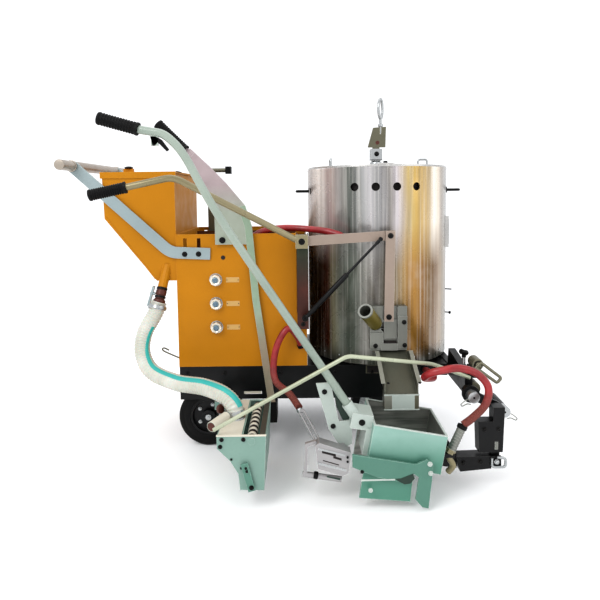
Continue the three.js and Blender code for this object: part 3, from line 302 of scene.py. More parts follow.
def woven_hose():
    """Red gas hose: smooth and glossy high up, braided and dull towards the shoe."""
    g = Graph("red_hose")
    weave = g.node("ShaderNodeTexWave", wave_type="BANDS", bands_direction="DIAGONAL")
    g.put(weave.inputs["Vector"], g.place)
    weave.inputs["Scale"].default_value = 210
    other = g.node("ShaderNodeTexChecker")
    g.put(other.inputs["Vector"], g.place)
    other.inputs["Scale"].default_value = 460
    braid = g.math("MULTIPLY", weave.outputs["Fac"], g.math("ADD", other.outputs["Fac"], 0.4))
    low = g.level(g.height(), *BRAID_FADE)
    colour = g.mix(g.level(g.noise(30, 4), 0.35, 0.7), rgb("9c2b2e"), rgb("741a1d"))
    braided = g.mix(braid, rgb("4a1a16"), rgb("9a5346"))
    colour = g.mix(low, colour, braided)
    rough = g.level(low, 0, 1, 0.3, 0.75)
    return g.finish(colour, rough, 0.0, g.math("MULTIPLY", braid, low), 0.6, 0.0008)


def rubber(name, base, shade):
    g = Graph(name)
    dust = g.level(g.noise(17, 5), 0.45, 0.75)
    colour = g.mix(dust, rgb(base), rgb(shade))
    colour = g.mix(g.math("MULTIPLY", g.edges(0.0012), 0.3), colour, rgb("4a4744"))
    gloss = g.level(dust, 0, 1, 0.5, 0.8)
    return g.finish(colour, gloss, 0.0, g.noise(260, 5), 0.25, extra={"Specular IOR Level": 0.2})


def shoe_paint():
    """Mint paint outside, darker towards the bottom with painted shade; inside the walls are bare, brushed
    and dark.
    """
    g = Graph("shoe_paint")
    patches = g.level(g.noise(7, 5), 0.35, 0.68)
    paint = g.mix(patches, rgb("8bada2"), rgb("779a8e"))
    # Painted shade: the paint darkens towards the bottom.
    low = g.level(g.height(), *SHOE_SHADE_FADE)
    paint = g.mix(low, paint, rgb("4c806e"))
    steel = g.mix(g.level(g.noise(90, 5, (0.08, 1, 1)), 0.3, 0.7), rgb("6d6e69"), rgb("a3a29b"))
    normal = g.parts(g.node("ShaderNodeNewGeometry").outputs["True Normal"])
    place = g.parts(g.place)
    centre = middle("shoe_box")
    facing_x = g.math("MULTIPLY", normal[0], g.math("SUBTRACT", place[0], centre.x))
    facing_y = g.math("MULTIPLY", normal[1], g.math("SUBTRACT", place[1], centre.y))
    inward = g.math("LESS_THAN", g.math("ADD", facing_x, facing_y), -0.02)
    colour = g.mix(inward, paint, steel)
    colour = g.mix(g.math("MULTIPLY", g.edges(), 0.7), colour, rgb("dfe6dc"))
    gloss = g.level(patches, 0, 1, 0.32, 0.48)
    return g.finish(colour, gloss, g.math("MULTIPLY", inward, 0.3), g.noise(150, 5), 0.12)


def two_tone(name, top, bottom, high, low, worn):
    """Paint that turns from one tone to another between two heights in metres."""
    g = Graph(name)
    patches = g.level(g.noise(9, 4), 0.35, 0.7)
    upper = g.mix(patches, rgb(top[0]), rgb(top[1]))
    lower = g.mix(patches, rgb(bottom[0]), rgb(bottom[1]))
    colour = g.mix(g.level(g.height(), high, low), upper, lower)
    colour = g.mix(g.math("MULTIPLY", g.edges(), 0.6), colour, rgb(worn))
    return g.finish(colour, g.level(g.noise(30, 4), 0.3, 0.7, 0.32, 0.48), 0.2, g.noise(160, 5), 0.12)


FINISH = {
    "orange": surface("orange_paint", "b7790f", "a06a09", 0.45, worn="d99a3e", shine=0.18),
    # Orange in painted shade, for the cabinet's shaded inside.
    "orange_painted_shade": surface("orange_painted_shade", "5d3209", "3a1e0a", 0.5, worn="7a4413"),
    "black": surface("black_paint", "0d0d0e", "070708", 0.4, worn="454441", coat=0.05, shine=0.25),
    "mint": surface("mint_paint", "7b978c", "67847a", 0.4, worn="cbd9cf", coat=0.08, shine=0.35),
    "mint_deep": surface("mint_deep", "568071", "466d5f", 0.42, worn="aec6ba", coat=0.06, shine=0.35),
    "pale": surface("pale_mint_paint", "929d92", "6a786d", 0.28, worn="e4ebe4", coat=0.3),
    "white_green": surface("white_green", "b3bcb5", "949f98", 0.36, worn="eceee8"),
    "khaki": surface("yellow_zinc", "90876b", "71694b", 0.32, 0.4, worn="e0d9bd"),
    "pink": surface("warm_steel", "9c8c80", "82756b", 0.4, 0.3, worn="d9ccbf"),
    "blue_steel": surface("blue_steel", "98a5a6", "7f8d90", 0.36, 0.35, worn="d3dada"),
    "crossbar": surface("crossbar", "a39a8e", "8a7f76", 0.34, 0.4, worn="cfc5b8"),
    "housing": surface("housing_steel", "83847d", "5d5f5b", 0.36, 0.5, worn="c2c4bd", stretch=(1, 1, 0.2)),
    "bright": surface("bright_steel", "b4b6b6", "8a8e8f", 0.26, 0.85, worn="efefef"),
    "cream": surface("cream_chrome", "e8e0d0", "c5bcaa", 0.2, 0.7, worn="ffffff"),
    "blue_cap": surface("blue_cap", "6f8492", "4e606c", 0.3, 0.6, worn="a9bac4"),
    "lid": surface("stainless", "c9c7c4", "9a9895", 0.26, 0.9, worn="f4f4f2", stretch=(0.1, 1, 1)),
    "olive": surface("dark_steel", "6e6b59", "4f4e42", 0.42, 0.5, worn="a39f8a"),
    "chute": surface("chute_steel", "66675a", "45463e", 0.38, 0.5, worn="a9a99a", stretch=(1, 0.15, 1)),
    "gold": surface("gold_zinc", "83773a", "665c2a", 0.36, 0.5, worn="c7bd8a"),
    "rust": surface("brown_steel", "5a2d22", "38201b", 0.45, 0.3, worn="8d6a5c"),
    "bolt": surface("black_bolt", "0c0c0c", "070707", 0.4, 0.3, worn="3f3d3a", shine=0.25),
    "bottle": surface("gas_bottle", "6f7a80", "56616a", 0.45, worn="aab2b6"),
    "plate": surface("label_plate", "bf9a5c", "b28c50", 0.5, worn="d8b983"),
    # Painted shade: a dark sheet for the shaded insides of holes, slots, tubes and gaps.
    "dark": surface("painted_shade_inside", "1c1310", "0e0a09", 0.7, worn="3a2c25"),
    # Painted shade inside the lever post's channel and the cabinet's notch, olive above and red-brown
    # below.
    "channel": two_tone("channel_painted_shade", ("2b3420", "1f2717"), ("4b1f12", "32140b"), 0.66, 0.54, "51402c"),
    "flange": surface("flange_steel", "94958a", "6d6e64", 0.36, 0.4, worn="c9cabf"),
    "white": surface("white_paint", "cfcabb", "b3ac9b", 0.42, worn="e9e5da"),
    "brace": surface("brace_paint", "aeb39c", "80866d", 0.3, 0.2, worn="dfe2c6", coat=0.2),
    # Dark green painted shadows on the shoe's side plates.
    "deep": surface("painted_shadow_green", "1c3629", "10201a", 0.5, worn="3d5a4b"),
    "cast": surface("burner_steel", "a9a7a6", "828083", 0.4, 0.5, worn="e3e3e1"),
    "dark_sheet": surface("dark_sheet", "4b4d48", "33342f", 0.45, 0.3, worn="7d7f78"),
    "teal": surface("teal_stripe", "2f9c98", "3fb6a6", 0.34, worn="7fd0c4"),
    "grip": rubber("black_rubber", "060606", "121211"),
    "tyre": rubber("tyre_rubber", "080808", "171614"),
    "kettle": kettle_painted_reflections(),
    "clear": clear_hose(),
    "hose": woven_hose(),
    "shoe": shoe_paint(),
    "brake_plate": two_tone(
        "brake_plate", ("a9999b", "968889"), ("a0a69a", "8c9484"), 0.87, 0.78, "dcd5d2"
    ),
    "brake_leg": two_tone(
        "brake_leg", ("93a592", "7f937c"), ("9b8c79", "7f7d69"), 0.48, 0.36, "dfe0cf"
    ),
}


# ---------- mesh tools ----------
def smooth_group():
    """A modifier tree that shades smooth, but keeps edges sharper than 35 degrees."""
    group = bpy.data.node_groups.new("smooth_by_angle", "GeometryNodeTree")
    group.interface.new_socket("Geometry", in_out="INPUT", socket_type="NodeSocketGeometry")
    group.interface.new_socket("Geometry", in_out="OUTPUT", socket_type="NodeSocketGeometry")
    nodes, links = group.nodes, group.links
    start, end = nodes.new("NodeGroupInput"), nodes.new("NodeGroupOutput")
    angle = nodes.new("GeometryNodeInputMeshEdgeAngle")
    soft = nodes.new("FunctionNodeCompare")
    soft.data_type, soft.operation = "FLOAT", "LESS_THAN"
    soft.inputs[1].default_value = math.radians(35)
    faces, edges = nodes.new("GeometryNodeSetShadeSmooth"), nodes.new("GeometryNodeSetShadeSmooth")
    faces.domain, edges.domain = "FACE", "EDGE"
    links.new(angle.outputs[0], soft.inputs[0])
    links.new(start.outputs[0], faces.inputs["Geometry"])
    links.new(faces.outputs[0], edges.inputs["Geometry"])
    links.new(soft.outputs[0], edges.inputs["Shade Smooth"])
    links.new(edges.outputs[0], end.inputs[0])
    return group


SMOOTH = smooth_group()


def soften(thing, bevel):
    """Rounded edges, and smooth shading between them."""
    if bevel:
        edge = thing.modifiers.new("edge", "BEVEL")
        edge.width, edge.segments = bevel * 0.001, 2
        edge.limit_method, edge.angle_limit = "ANGLE", math.radians(38)
    thing.modifiers.new("smooth", "NODES").node_group = SMOOTH
    if bevel:
        thing.modifiers.new("even", "WEIGHTED_NORMAL").keep_sharp = True


def keep(node, finish, bevel=0.8):
    """A CAD solid whose shape is right: it gets rounded edges and its finish."""
    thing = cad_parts[node]
    thing.data.materials.clear()
    thing.data.materials.append(FINISH[finish])
    soften(thing, bevel)


class Shape:
    """A mesh made of closed parts, in millimetres from the rear axle's ground point."""

    def __init__(self, *finishes):
        self.bm = bmesh.new()
        self.finishes = finishes
        self.paint = 0

    def face(self, verts):
        made = self.bm.faces.new(verts)
        made.material_index = self.paint

    def use(self, index):
        self.paint = index
        return self

    def rings(self, rings, closed=False):
        """Joins rings of points; a ring of one point is a tip. Open ends get a cap."""
        made = [[self.bm.verts.new(p) for p in ring] for ring in rings]
        pairs = list(zip(made, made[1:])) + ([(made[-1], made[0])] if closed else [])
        for low, high in pairs:
            count = max(len(low), len(high))
            for i in range(count):
                j = (i + 1) % count
                if len(low) == 1:
                    self.face((low[0], high[i], high[j]))
                elif len(high) == 1:
                    self.face((low[j], low[i], high[0]))
                else:
                    self.face((low[j], low[i], high[i], high[j]))
        if not closed:
            if len(made[0]) > 2:
                self.face(made[0])
            if len(made[-1]) > 2:
                self.face(made[-1][::-1])
        return self

    def turn(self, profile, start, direction, sides=40):
        """A body of revolution; profile points are (radius, distance along the axis)."""
        along = Vector(direction).normalized()
        side = along.orthogonal().normalized()
        up = along.cross(side)
        rings = []
        for radius, distance in profile:
            centre = Vector(start) + along * distance
            rings.append(circle(centre, side, up, radius, 1 if radius < 1e-6 else sides))
        closed = profile[0] == profile[-1]
        return self.rings(rings[:-1] if closed else rings, closed)

    def disc(self, radius, low, high, start, direction, sides=40):
        """A plain disc or short cylinder between two distances along its axis."""
        return self.turn([(0, low), (radius, low), (radius, high), (0, high)], start, direction, sides)

    def collar(self, bore, radius, low, high, start, direction, sides=40, ease=0):
        """A ring with a bore between two distances along its axis; ease slopes its faces."""
        profile = [(bore, low), (radius, low + ease), (radius, high - ease), (bore, high), (bore, low)]
        return self.turn(profile, start, direction, sides)

    def rod(self, start, end, radius, sides=24, edge=0.8):
        length = (Vector(end) - Vector(start)).length
        profile = [(radius - edge, 0), (radius, edge), (radius, length - edge), (radius - edge, length)]
        return self.turn(profile, start, Vector(end) - Vector(start), sides)

    def sweep(self, points, radius, sides=16):
        """A round bar along points; radius may be a function of the distance along it."""
        points = [Vector(p) for p in points]
        measure = radius if callable(radius) else lambda s: radius
        side = (points[1] - points[0]).orthogonal().normalized()
        rings, travelled = [], 0.0
        for i, point in enumerate(points):
            ahead = points[min(i + 1, len(points) - 1)] - points[max(i - 1, 0)]
            ahead.normalize()
            side = (side - ahead * side.dot(ahead)).normalized()
            up = ahead.cross(side)
            if i:
                travelled += (point - points[i - 1]).length
            rings.append(circle(point, side, up, measure(travelled), sides))
        return self.rings(rings)

    def slab(self, outline, offset):
        """A plate: an outline of 3D points, thickened by an offset."""
        low = [Vector(p) for p in outline]
        return self.rings([low, [p + Vector(offset) for p in low]])

    def side_plate(self, outline, y0, y1):
        return self.slab([(x, y0, z) for x, z in outline], (0, y1 - y0, 0))

    def box(self, x0, x1, y0, y1, z0, z1):
        return self.slab([(x0, y0, z0), (x1, y0, z0), (x1, y0, z1), (x0, y0, z1)], (0, y1 - y0, 0))

    def bolt(self, point, direction, size=6, washer=True):
        """A hexagon head on a washer, standing on a face at point and looking along direction."""
        point, direction = Vector(point), Vector(direction).normalized()
        if washer:
            rim = size * 1.45
            self.turn([(0, 0), (rim, 0), (rim, 1), (size * 1.35, 1.4), (0, 1.4)], point, direction, 20)
            point = point + direction * 1.4
        tall = size * 0.75
        self.turn([(0, 0), (size * 1.1, 0), (size * 1.1, tall), (size * 0.85, tall + 0.9), (0, tall + 1.1)],
                  point, direction, 6)
        return self

    def screw(self, point, direction, size=5):
        """A pan head with a sunk socket."""
        shape = [(0, 0), (1, 0), (1, 0.35), (0.8, 0.62), (0.45, 0.7), (0.4, 0.35), (0, 0.35)]
        return self.turn([(r * size, h * size) for r, h in shape], point, direction, 16)

    def place(self, name, body, replaces=(), bevel=0.0, slot=None):
        bmesh.ops.recalc_face_normals(self.bm, faces=self.bm.faces)
        mesh = bpy.data.meshes.new(name)
        self.bm.to_mesh(mesh)
        self.bm.free()
        mesh.transform(FROM_AXLE)
        for key in self.finishes:
            mesh.materials.append(FINISH[key])
        thing = bpy.data.objects.new(name, mesh)
        bpy.context.scene.collection.objects.link(thing)
        soften(thing, bevel)
        if body:
            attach(thing, body)
        if replaces:
            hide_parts(*replaces)
        return thing


def spline(points, steps):
    """A smooth centripetal curve through points."""
    points = [Vector(p) for p in points]
    first = points[0] * 2 - points[1]
    last = points[-1] * 2 - points[-2]
    whole = [first, *points, last]
    made = []
    for a, b, c, d in zip(whole, whole[1:], whole[2:], whole[3:]):
        t1 = (b - a).length ** 0.5
        t2 = t1 + (c - b).length ** 0.5
        t3 = t2 + (d - c).length ** 0.5
        for i in range(steps):
            t = t1 + (t2 - t1) * i / steps
            ab = a.lerp(b, t / t1)
            bc = b.lerp(c, (t - t1) / (t2 - t1))
            cd = c.lerp(d, (t - t2) / (t3 - t2))
            made.append(ab.lerp(bc, t / t2).lerp(bc.lerp(cd, (t - t1) / (t3 - t1)), (t - t1) / (t2 - t1)))
    return made + [points[-1]]


def bent(points, bend):
    """Straight runs whose corners are rounded over the bend length, in eight steps."""
    points = [Vector(p) for p in points]
    made = [points[0]]
    for before, corner, after in zip(points, points[1:], points[2:]):
        start = corner + (before - corner).normalized() * bend
        end = corner + (after - corner).normalized() * bend
        for i in range(9):
            t = i / 8
            made.append(start.lerp(corner, t).lerp(corner.lerp(end, t), t))
    return made + [points[-1]]


def strip(points, width):
    """The outline of a flat bar of one width along a bent centre line, with square ends."""
    at_points = [Vector(p) for p in points]
    left, right = [], []
    for i, point in enumerate(at_points):
        before = (point - at_points[i - 1]).normalized() if i else None
        after = (at_points[i + 1] - point).normalized() if i < len(at_points) - 1 else None
        ahead = ((before or after) + (after or before)).normalized()
        side = Vector((-ahead.y, ahead.x))
        flat = after or before
        mitre = width / 2 / side.dot(Vector((-flat.y, flat.x)))
        left.append(point + side * mitre)
        right.insert(0, point - side * mitre)
    return [tuple(p) for p in left + right]


# ---------- wheels ----------
def rear_wheel(side):
    low, high = span(f"rear_tyre_{side}")
    y, half, radius = (low.y + high.y) / 2, (high.y - low.y) / 2, (high.z - low.z) / 2
    tyre = Shape("tyre")
    grooves = []
    for i in range(5):
        mid = -half + 9 + i * 5.5
        for sunk, along in ((1.2, -1.6), (3, -1.1), (3, 1.1), (1.2, 1.6)):
            grooves.append((radius - sunk, mid + along))
    shoulder = [(62, half), (80, half), (82, half - 1.2), (90, half - 0.4), (96, half - 2.5),
                (98.6, half - 6)]
    profile = [*((r, -y) for r, y in shoulder), *grooves, *shoulder[::-1], (62, -half)]
    tyre.turn(profile, (0, y, radius), LEFT, 72)
    tyre.place(f"tyre_{side}", f"rear_wheel_{side}", [f"rear_tyre_{side}"], slot="tyre_rubber")
    hub = Shape("black", "bright")
    rim = [(11, -24), (22, -24), (24, -22), (24, -7), (50, -6), (53, -9), (54, -17), (61.5, -17.8),
           (61.5, 17.8), (54, 17), (53, 9), (50, 6), (24, 7), (24, 22), (22, 24), (11, 24), (11, -24)]
    hub.turn(rim, (0, y, radius), LEFT, 56)
    hub.use(1)
    outward = -1 if y < 0 else 1
    for a in around(5):
        hub.bolt((38 * math.cos(a), y + outward * 6.6, radius + 38 * math.sin(a)), (0, outward, 0), 4.5)
    hub.place(f"hub_{side}", f"rear_wheel_{side}", [f"rear_hub_{side}"], slot="bright_steel")


def front_wheel():
    low, high = span("front_wheel")
    x, half, radius = (low.x + high.x) / 2, 24, (high.z - low.z) / 2
    wheel = Shape("tyre", "bright")
    wheel.turn([(54, -half), (72, -half), (77, -half + 4), (79.6, -half + 9), (79.6, -4), (77, -3), (77, 3),
                (79.6, 4), (79.6, half - 9), (77, half - 4), (72, half), (54, half), (54, -half)],
               (x, 0, radius), LEFT, 64)
    wheel.use(1).turn([(9, -26), (20, -26), (24, -9), (48, -8), (53.7, -20), (53.7, 20), (48, 8), (24, 9),
                       (20, 26), (9, 26), (9, -26)], (x, 0, radius), LEFT, 48)
    wheel.place("caster_tyre", "caster_wheel", ["front_wheel"], slot="tyre_rubber")


rear_wheel("right")
rear_wheel("left")
front_wheel()
keep("caster_fork", "black")

axle = Shape("bright")
axle.rod((0, -178, AXLE_Z), (0, 178, AXLE_Z), 10, 28)
for y in (-126, 126):
    axle.collar(10.2, 16, -4, 4, (0, y, AXLE_Z), LEFT, 24)
for y in (-1, 1):
    axle.bolt((0, y * 177, AXLE_Z), (0, y, 0), 5, washer=False)
axle.place("axle", "chassis", ["rear_axle"], slot="bright_steel")


# ---------- deck ----------
keep("chassis_frame", "black", 1.2)
deck = Shape("bolt", "white", "black", "bright")
for x in (-60, 60, 240, 420, 540):
    deck.bolt((x, -SIDE, SKIRT_BOLT_Z), RIGHT, 5)
    deck.bolt((x, SIDE, SKIRT_BOLT_Z), LEFT, 5)
deck.use(1).box(122.5, 179.5, -197.5, -195.5, 187.5, 195.5)
deck.use(2).box(652, 706, -206, -199.7, 252, 279)
deck.use(3)
for x in (-60, -20, 20, 60):
    deck.bolt((-85, x, 262), REAR, 5)
deck.place("deck_fasteners", "chassis", slot="black_paint")

carrier = Shape("olive", "dark")
carrier.box(520, 640, -201.2, -199.8, 252, 279)
# The dark inner panel is painted shade in the burner window.
carrier.use(1).box(524, 636, -201.8, -201.1, 254, 277)
carrier.place("burner_window", "chassis", slot="black_paint")


# ---------- cabinet ----------
keep("cabinet_shell", "orange", 1.2)

lip = Shape("orange")
lip.box(-86, 298, -200.6, -196.5, 708.6, 711.8)
lip.box(-86.6, -83, -200, 200, 708.6, 711.8)
lip.box(-86, 330, 196.5, 200.6, 708.6, 711.8)
lip.place("cabinet_rim", "chassis", bevel=0.6, slot="orange_paint")

inside = Shape("channel", "cream", "bolt", "orange_painted_shade")
# The back of the notch is dark with painted shade.
inside.box(299, 325, -149.2, -148.2, 460, 709)
# Light cream strips at the notch's front edge: painted highlight.
inside.use(1).box(325.6, 330.8, -199.6, -149, 282, 460)
inside.box(326.2, 330.8, -154, -147.2, 457, 709)
inside.use(2).turn([(0, 0), (12, 0), (12, 6), (9, 8), (9, 13), (0, 13)], (313, -175, 456.5), UP, 20)
inside.rod((313, -175, 466), (330, -150, 462), 5)
# The far inside wall is orange in painted shade.
inside.use(3).box(-80, 295, 140, 142, 300, 700)
inside.place("cabinet_fittings", "chassis", bevel=0.4, slot="orange_paint")

BOTTLE_FOOT = (112, 0, 0)
bottle = Shape("bottle", "bright", "grip")
dome = [(26 + 112 * math.cos(a), 510 + 53 * math.sin(a)) for a in (math.pi / 2 * i / 10 for i in range(10))]
bottle.turn([(0, 283.5), (120, 283.5), (134, 288), (138, 300), (138, 392), (139, 394), (139, 398),
             (138, 400), *dome, (22, 565), (0, 565)], BOTTLE_FOOT, UP, 64)
bottle.use(1).turn([(0, 564), (14, 564), (14, 600), (11, 602), (11, 618), (0, 618)], BOTTLE_FOOT, UP, 28)
bottle.use(2).turn([(0, 617), (22, 618), (24, 622), (24, 633), (22, 637), (0, 637)], BOTTLE_FOOT, UP, 10)
bottle.place("gas_bottle", "chassis", ["gas_cylinder"], slot="gas_bottle")


def knob(level):
    low, high = span(f"valve_knob_{level}")
    x, z = KNOB_X, (low.z + high.z) / 2
    made = Shape("cream", "blue_cap", "bolt")
    made.turn([(0, 0), (15, 0), (17.3, 2), (17.5, 4), (17.5, 12), (16.4, 14.5), (13, 15.2), (11, 14),
               (0, 14)], (x, -203.6, z), RIGHT, 14)
    made.use(1)
    made.turn([(0, 0), (9.6, 0), (9, 2.2), (5.5, 3.4), (4.6, 2.4), (0, 2.4)], (x, -217.4, z), RIGHT, 28)
    made.use(2).rod((x, -204.4, z), (x, -192, z), 4.5)
    made.use(0)
    for a in around(8):
        ridge_x, ridge_z = x + 16.6 * math.cos(a), z + 16.6 * math.sin(a)
        made.rod((ridge_x, -205.5, ridge_z), (ridge_x, -216.5, ridge_z), 1.6, 8, 0.4)
    made.place(f"knob_{level}_cap", f"knob_{level}", [f"valve_knob_{level}"], slot="bright_steel")


for level in ("upper", "middle", "lower"):
    knob(level)

plates = Shape("plate", "bolt", "bright", "dark", "olive")
for z in KNOB_ZS:
    plates.use(0).box(72, 114, -201, -200.1, z - 9, z + 7)
    plates.use(1)
    for x in (75, 111):
        plates.screw((x, -201, z - 1), RIGHT, 1.6)
    plates.use(2).collar(12, 20.5, 0, 1.4, (KNOB_X, -200.1, z), RIGHT, 36)
plates.use(4).sweep(bent([(-86.8, -190, 307), (-112, -197, 321), (-134, -201, 333), (-141, -200, 340),
                          (-136, -194, 343), (-120, -190, 333)], 5), 2.4, 12)
# A dark disc: painted shade in a hole in the panel.
plates.use(3).disc(7, 0, 0.5, (64, -200, 636), RIGHT, 24)
plates.place("cabinet_labels", "chassis", bevel=0.3, slot="bright_steel")

lock = Shape("olive", "bolt")
lock.box(-43, -19, 176, 184, 668, 925)
lock.rod((-31, 183, 684), (-31, 200.6, 684), 5)
lock.rod((-66, 180, 930), (32, 180, 930), 8)
lock.use(1).box(28, 50, 166, 194, 916, 944)
lock.rod((-84, 180, 930), (-66, 180, 930), 9)
lock.bolt((-31, 176, 684), RIGHT, 6)
lock.place("steering_lock_lever", "steering_lock", ["lock_lever"], bevel=1.2, slot="dark_steel")


# ---------- bead hopper, tap and hose ----------
keep("bead_hopper", "orange", 1.2)
keep("hopper_lid", "orange", 1.0)
lid_knob = Shape("bolt")
lid_knob.turn([(0, 0), (13, 0), (15, 3), (15, 5), (9, 8), (0, 9)], (-289, 0, 931), UP, 24)
for y in (-140, 140):
    lid_knob.box(-92, -78, y - 22, y + 22, 911.6, 913.2)
    for step in (-14, 14):
        lid_knob.screw((-86, y + step, 913.2), UP, 3)
lid_knob.place("hopper_lid_knob", "hopper_cover", slot="orange_paint")

seams = Shape("orange", "bolt")
seams.side_plate([(-307, 770), (-303, 766), (-153, 570), (-157, 568)], -196.4, -194.6)
seams.use(1)
for y in (-150, 0, 150):
    seams.bolt((-90, y, 690), REAR, 5)
seams.place("hopper_seams", "chassis", bevel=0.5, slot="orange_paint")

valve = Shape("rust", "bolt", "bright")
top, bottom = Vector((-130.1, -212.2, 543.5)), Vector((-136, -225.5, 510))
down = bottom - top
valve.turn([(0, 0), (13, 0), (14, 2), (14, 8), (16.5, 10), (16.5, 24), (14, 26), (14, down.length),
            (0, down.length)], top, down, 36)
valve.use(1).collar(14.2, 17, 1, 7, top, down, 36)
valve.collar(14.2, 17, 28, 34, top, down, 36)
valve.use(0).turn([(0, 0), (15, 0), (19, 4), (19, 20), (22, 23), (22, 30), (0, 30)],
                  bottom + down * 0.02, down, 36)
valve.use(2).rod((-149, -219, 526), (-136, -219, 527), 4)
valve.collar(26.3, 27.6, 24, 34, bottom, down, 40, 1)
valve.place("bead_tap_body", "chassis", ["bead_valve"], slot="dark_steel")
keep("bead_valve_lever", "blue_steel", 1.0)

HOSE_PATH = [(-137.6, -229, 501), (-148, -235, 468), (-181, -247, 405), (-186, -262, 350),
             (-156, -291, 302), (-71, -330, 275), (28, -380, 276), (92, -420, 264), (119, -440, 243),
             (124, -444, 221)]
hose_line = spline(HOSE_PATH, 80)


def rib(distance):
    return 24 + 0.8 * math.sin(2 * math.pi * distance / 9)


hose = Shape("clear", "bright")
hose.sweep(hose_line, rib, 36)
for index in (38, 700):
    centre, ahead = hose_line[index], hose_line[index + 1] - hose_line[index]
    hose.use(1).collar(24.6, 26.6, -6, 6, centre, ahead, 40, 0.6)
    hose.box(centre.x - 30, centre.x - 22, centre.y - 6, centre.y + 6, centre.z - 5, centre.z + 5)
hose.place("bead_hose_ribbed", "chassis", ["bead_hose"], slot="clear_hose")

stripe = Shape("teal")
strip_rings = []
for i in range(124, 664, 4):
    point = hose_line[i]
    ahead = (hose_line[i + 1] - hose_line[i - 1]).normalized()
    to_eye = Vector((0.1, -1, 0.35))
    inner = Vector((-ahead.z, 0, ahead.x))
    if inner.x < 0 and inner.z < 0:
        inner = -inner
    inner = (inner - ahead * inner.dot(ahead)).normalized()
    facing = (to_eye - ahead * to_eye.dot(ahead)).normalized()
    middle_line = (inner * 1.15 + facing).normalized()
    across = ahead.cross(middle_line)
    half = 0.2 + 0.17 * (i - 124) / 540
    ring = []
    for radius, share in ((25.2, -1), (25.4, -0.33), (25.4, 0.33), (25.2, 1), (23.5, 1), (23.5, -1)):
        turn = half * share
        ring.append(point + (middle_line * math.cos(turn) + across * math.sin(turn)) * radius)
    strip_rings.append(ring)
stripe.rings(strip_rings)
stripe.place("bead_hose_stripe", "chassis", slot="clear_hose")


# ---------- push handle ----------
handle = Shape("blue_steel", "crossbar", "bolt")
ARM = [CROSSBAR, (-103, 655), (24, ARM_BOLT_Z)]
for side in (-1, 1):
    near, far = side * 201.3, side * 207.3
    handle.use(0).side_plate(strip(bent(ARM, 24), 37), min(near, far), max(near, far))
    for x in ARM_BOLT_XS:
        handle.use(2).bolt((x, far, ARM_BOLT_Z), (0, side, 0), 6)
        handle.rod((x, far - side, ARM_BOLT_Z), (x, side * 190, ARM_BOLT_Z), 4.5)
        handle.collar(5, 9, 0, 5, (x, side * 196, ARM_BOLT_Z), (0, -side, 0), 6)
handle.use(1).turn([(0, 0), (13, 0), (15.4, 1.5), (16, 4), (16, 596), (15.4, 598.5), (13, 600), (0, 600)],
                   (CROSSBAR[0], -300, CROSSBAR[1]), LEFT, 36)
for y in (-212, 212):
    handle.collar(16.2, 18.5, -3, 3, (CROSSBAR[0], y, CROSSBAR[1]), LEFT, 36, 1)
handle.place("handle_frame", "handle", ["push_handle"], bevel=1.0, slot="pale_mint_paint")


# ---------- parking brake ----------
brake = Shape("brake_plate", "bolt", "brake_leg")
brake.side_plate([(-50, 958), (-30, 983), (28, 928), (82, 872), (138, 804), (152, 735), (152, 679),
                  (42, 679), (42, 781), (23, 835), (-2, 889)], -215, -211)
brake.side_plate(strip([(-118, 1049), (-26, 957)], 22), -216, -210)
brake.use(2).side_plate(strip([(128, 800), (148, 735), (168, 500), (214, 160)], 23), -216, -210)
brake.use(1).rod((65, -211, 693), (65, -192, 693), 6)
brake.bolt((65, -215.6, 693), RIGHT, 7)
brake.place("brake_bars", "brake", ["brake_lever"], bevel=1.0, slot="warm_steel")


def ribbed_grip(name, node, body, start, end, outer, bore, ribs=14):
    """A rubber sleeve with a round closed end, ribs and an inner flange."""
    start, end = Vector(start), Vector(end)
    length = (end - start).length
    profile = [(0, 0), (outer * 0.6, 0.2), (outer * 0.92, 2.2), (outer, 6)]
    step = (length - 22) / ribs
    for i in range(ribs):
        s = 9 + i * step
        deep = outer - 2.2
        profile += [(outer - 0.4, s), (deep, s + step * 0.3), (deep, s + step * 0.5),
                    (outer - 0.4, s + step * 0.8)]
    profile += [(outer - 1.5, length - 9), (outer, length - 6), (outer, length - 1), (outer - 1, length),
                (bore, length), (bore, length - 20), (0, length - 20)]
    grip = Shape("grip")
    grip.turn(profile, start, end - start, 36)
    grip.place(name, body, [node], slot="black_rubber")


ribbed_grip("brake_handgrip", "brake_grip", "brake", (-130, -213, 1061), (-44, -213, 975), 17, 15.6)
keep("brake_pad", "grip", 1.5)


# ---------- kettle ----------
KETTLE_FOOT = (KETTLE_X, 0, 0)
# Four vents on each long side, as angles from -Y towards +X.
VENTS = [math.radians(a + half_turn) for half_turn in (0, 180) for a in (-24, -8, 8, 24)]


def kettle_wall():
    wall = Shape("kettle")
    inner, r = KETTLE_R - 3.2, KETTLE_R
    wall.turn([(inner, 290.4), (r - 1, 290.4), (r, 292), (r, 912), (r + 1, 914), (r + 1, 917.6), (r, 919),
               (inner, 919), (inner, 290.4)], KETTLE_FOOT, UP, 160)
    shell = wall.place("kettle_casing", "chassis", ["kettle_shell"], slot="stainless")
    cutter = Shape("kettle")
    for a in VENTS:
        c, s = math.sin(a), -math.cos(a)
        cutter.disc(13, 225, 252, (KETTLE_X, 0, VENT_Z), (c, s, 0), 28)
    cutter.disc(31, 200, 252, (KETTLE_X, 0, PORT_Z), RIGHT, 32)
    tool = cutter.place("vent_cutter", None)
    carve = shell.modifiers.new("vents", "BOOLEAN")
    carve.object, carve.solver = tool, "EXACT"
    shell.modifiers.move(len(shell.modifiers) - 1, 0)
    depsgraph = bpy.context.evaluated_depsgraph_get()
    shell.modifiers["smooth"].show_viewport = False
    depsgraph.update()
    carved = bpy.data.meshes.new_from_object(shell.evaluated_get(depsgraph))
    shell.modifiers.remove(carve)
    shell.modifiers["smooth"].show_viewport = True
    shell.data = carved
    bpy.data.objects.remove(tool)
    return shell


kettle_wall()

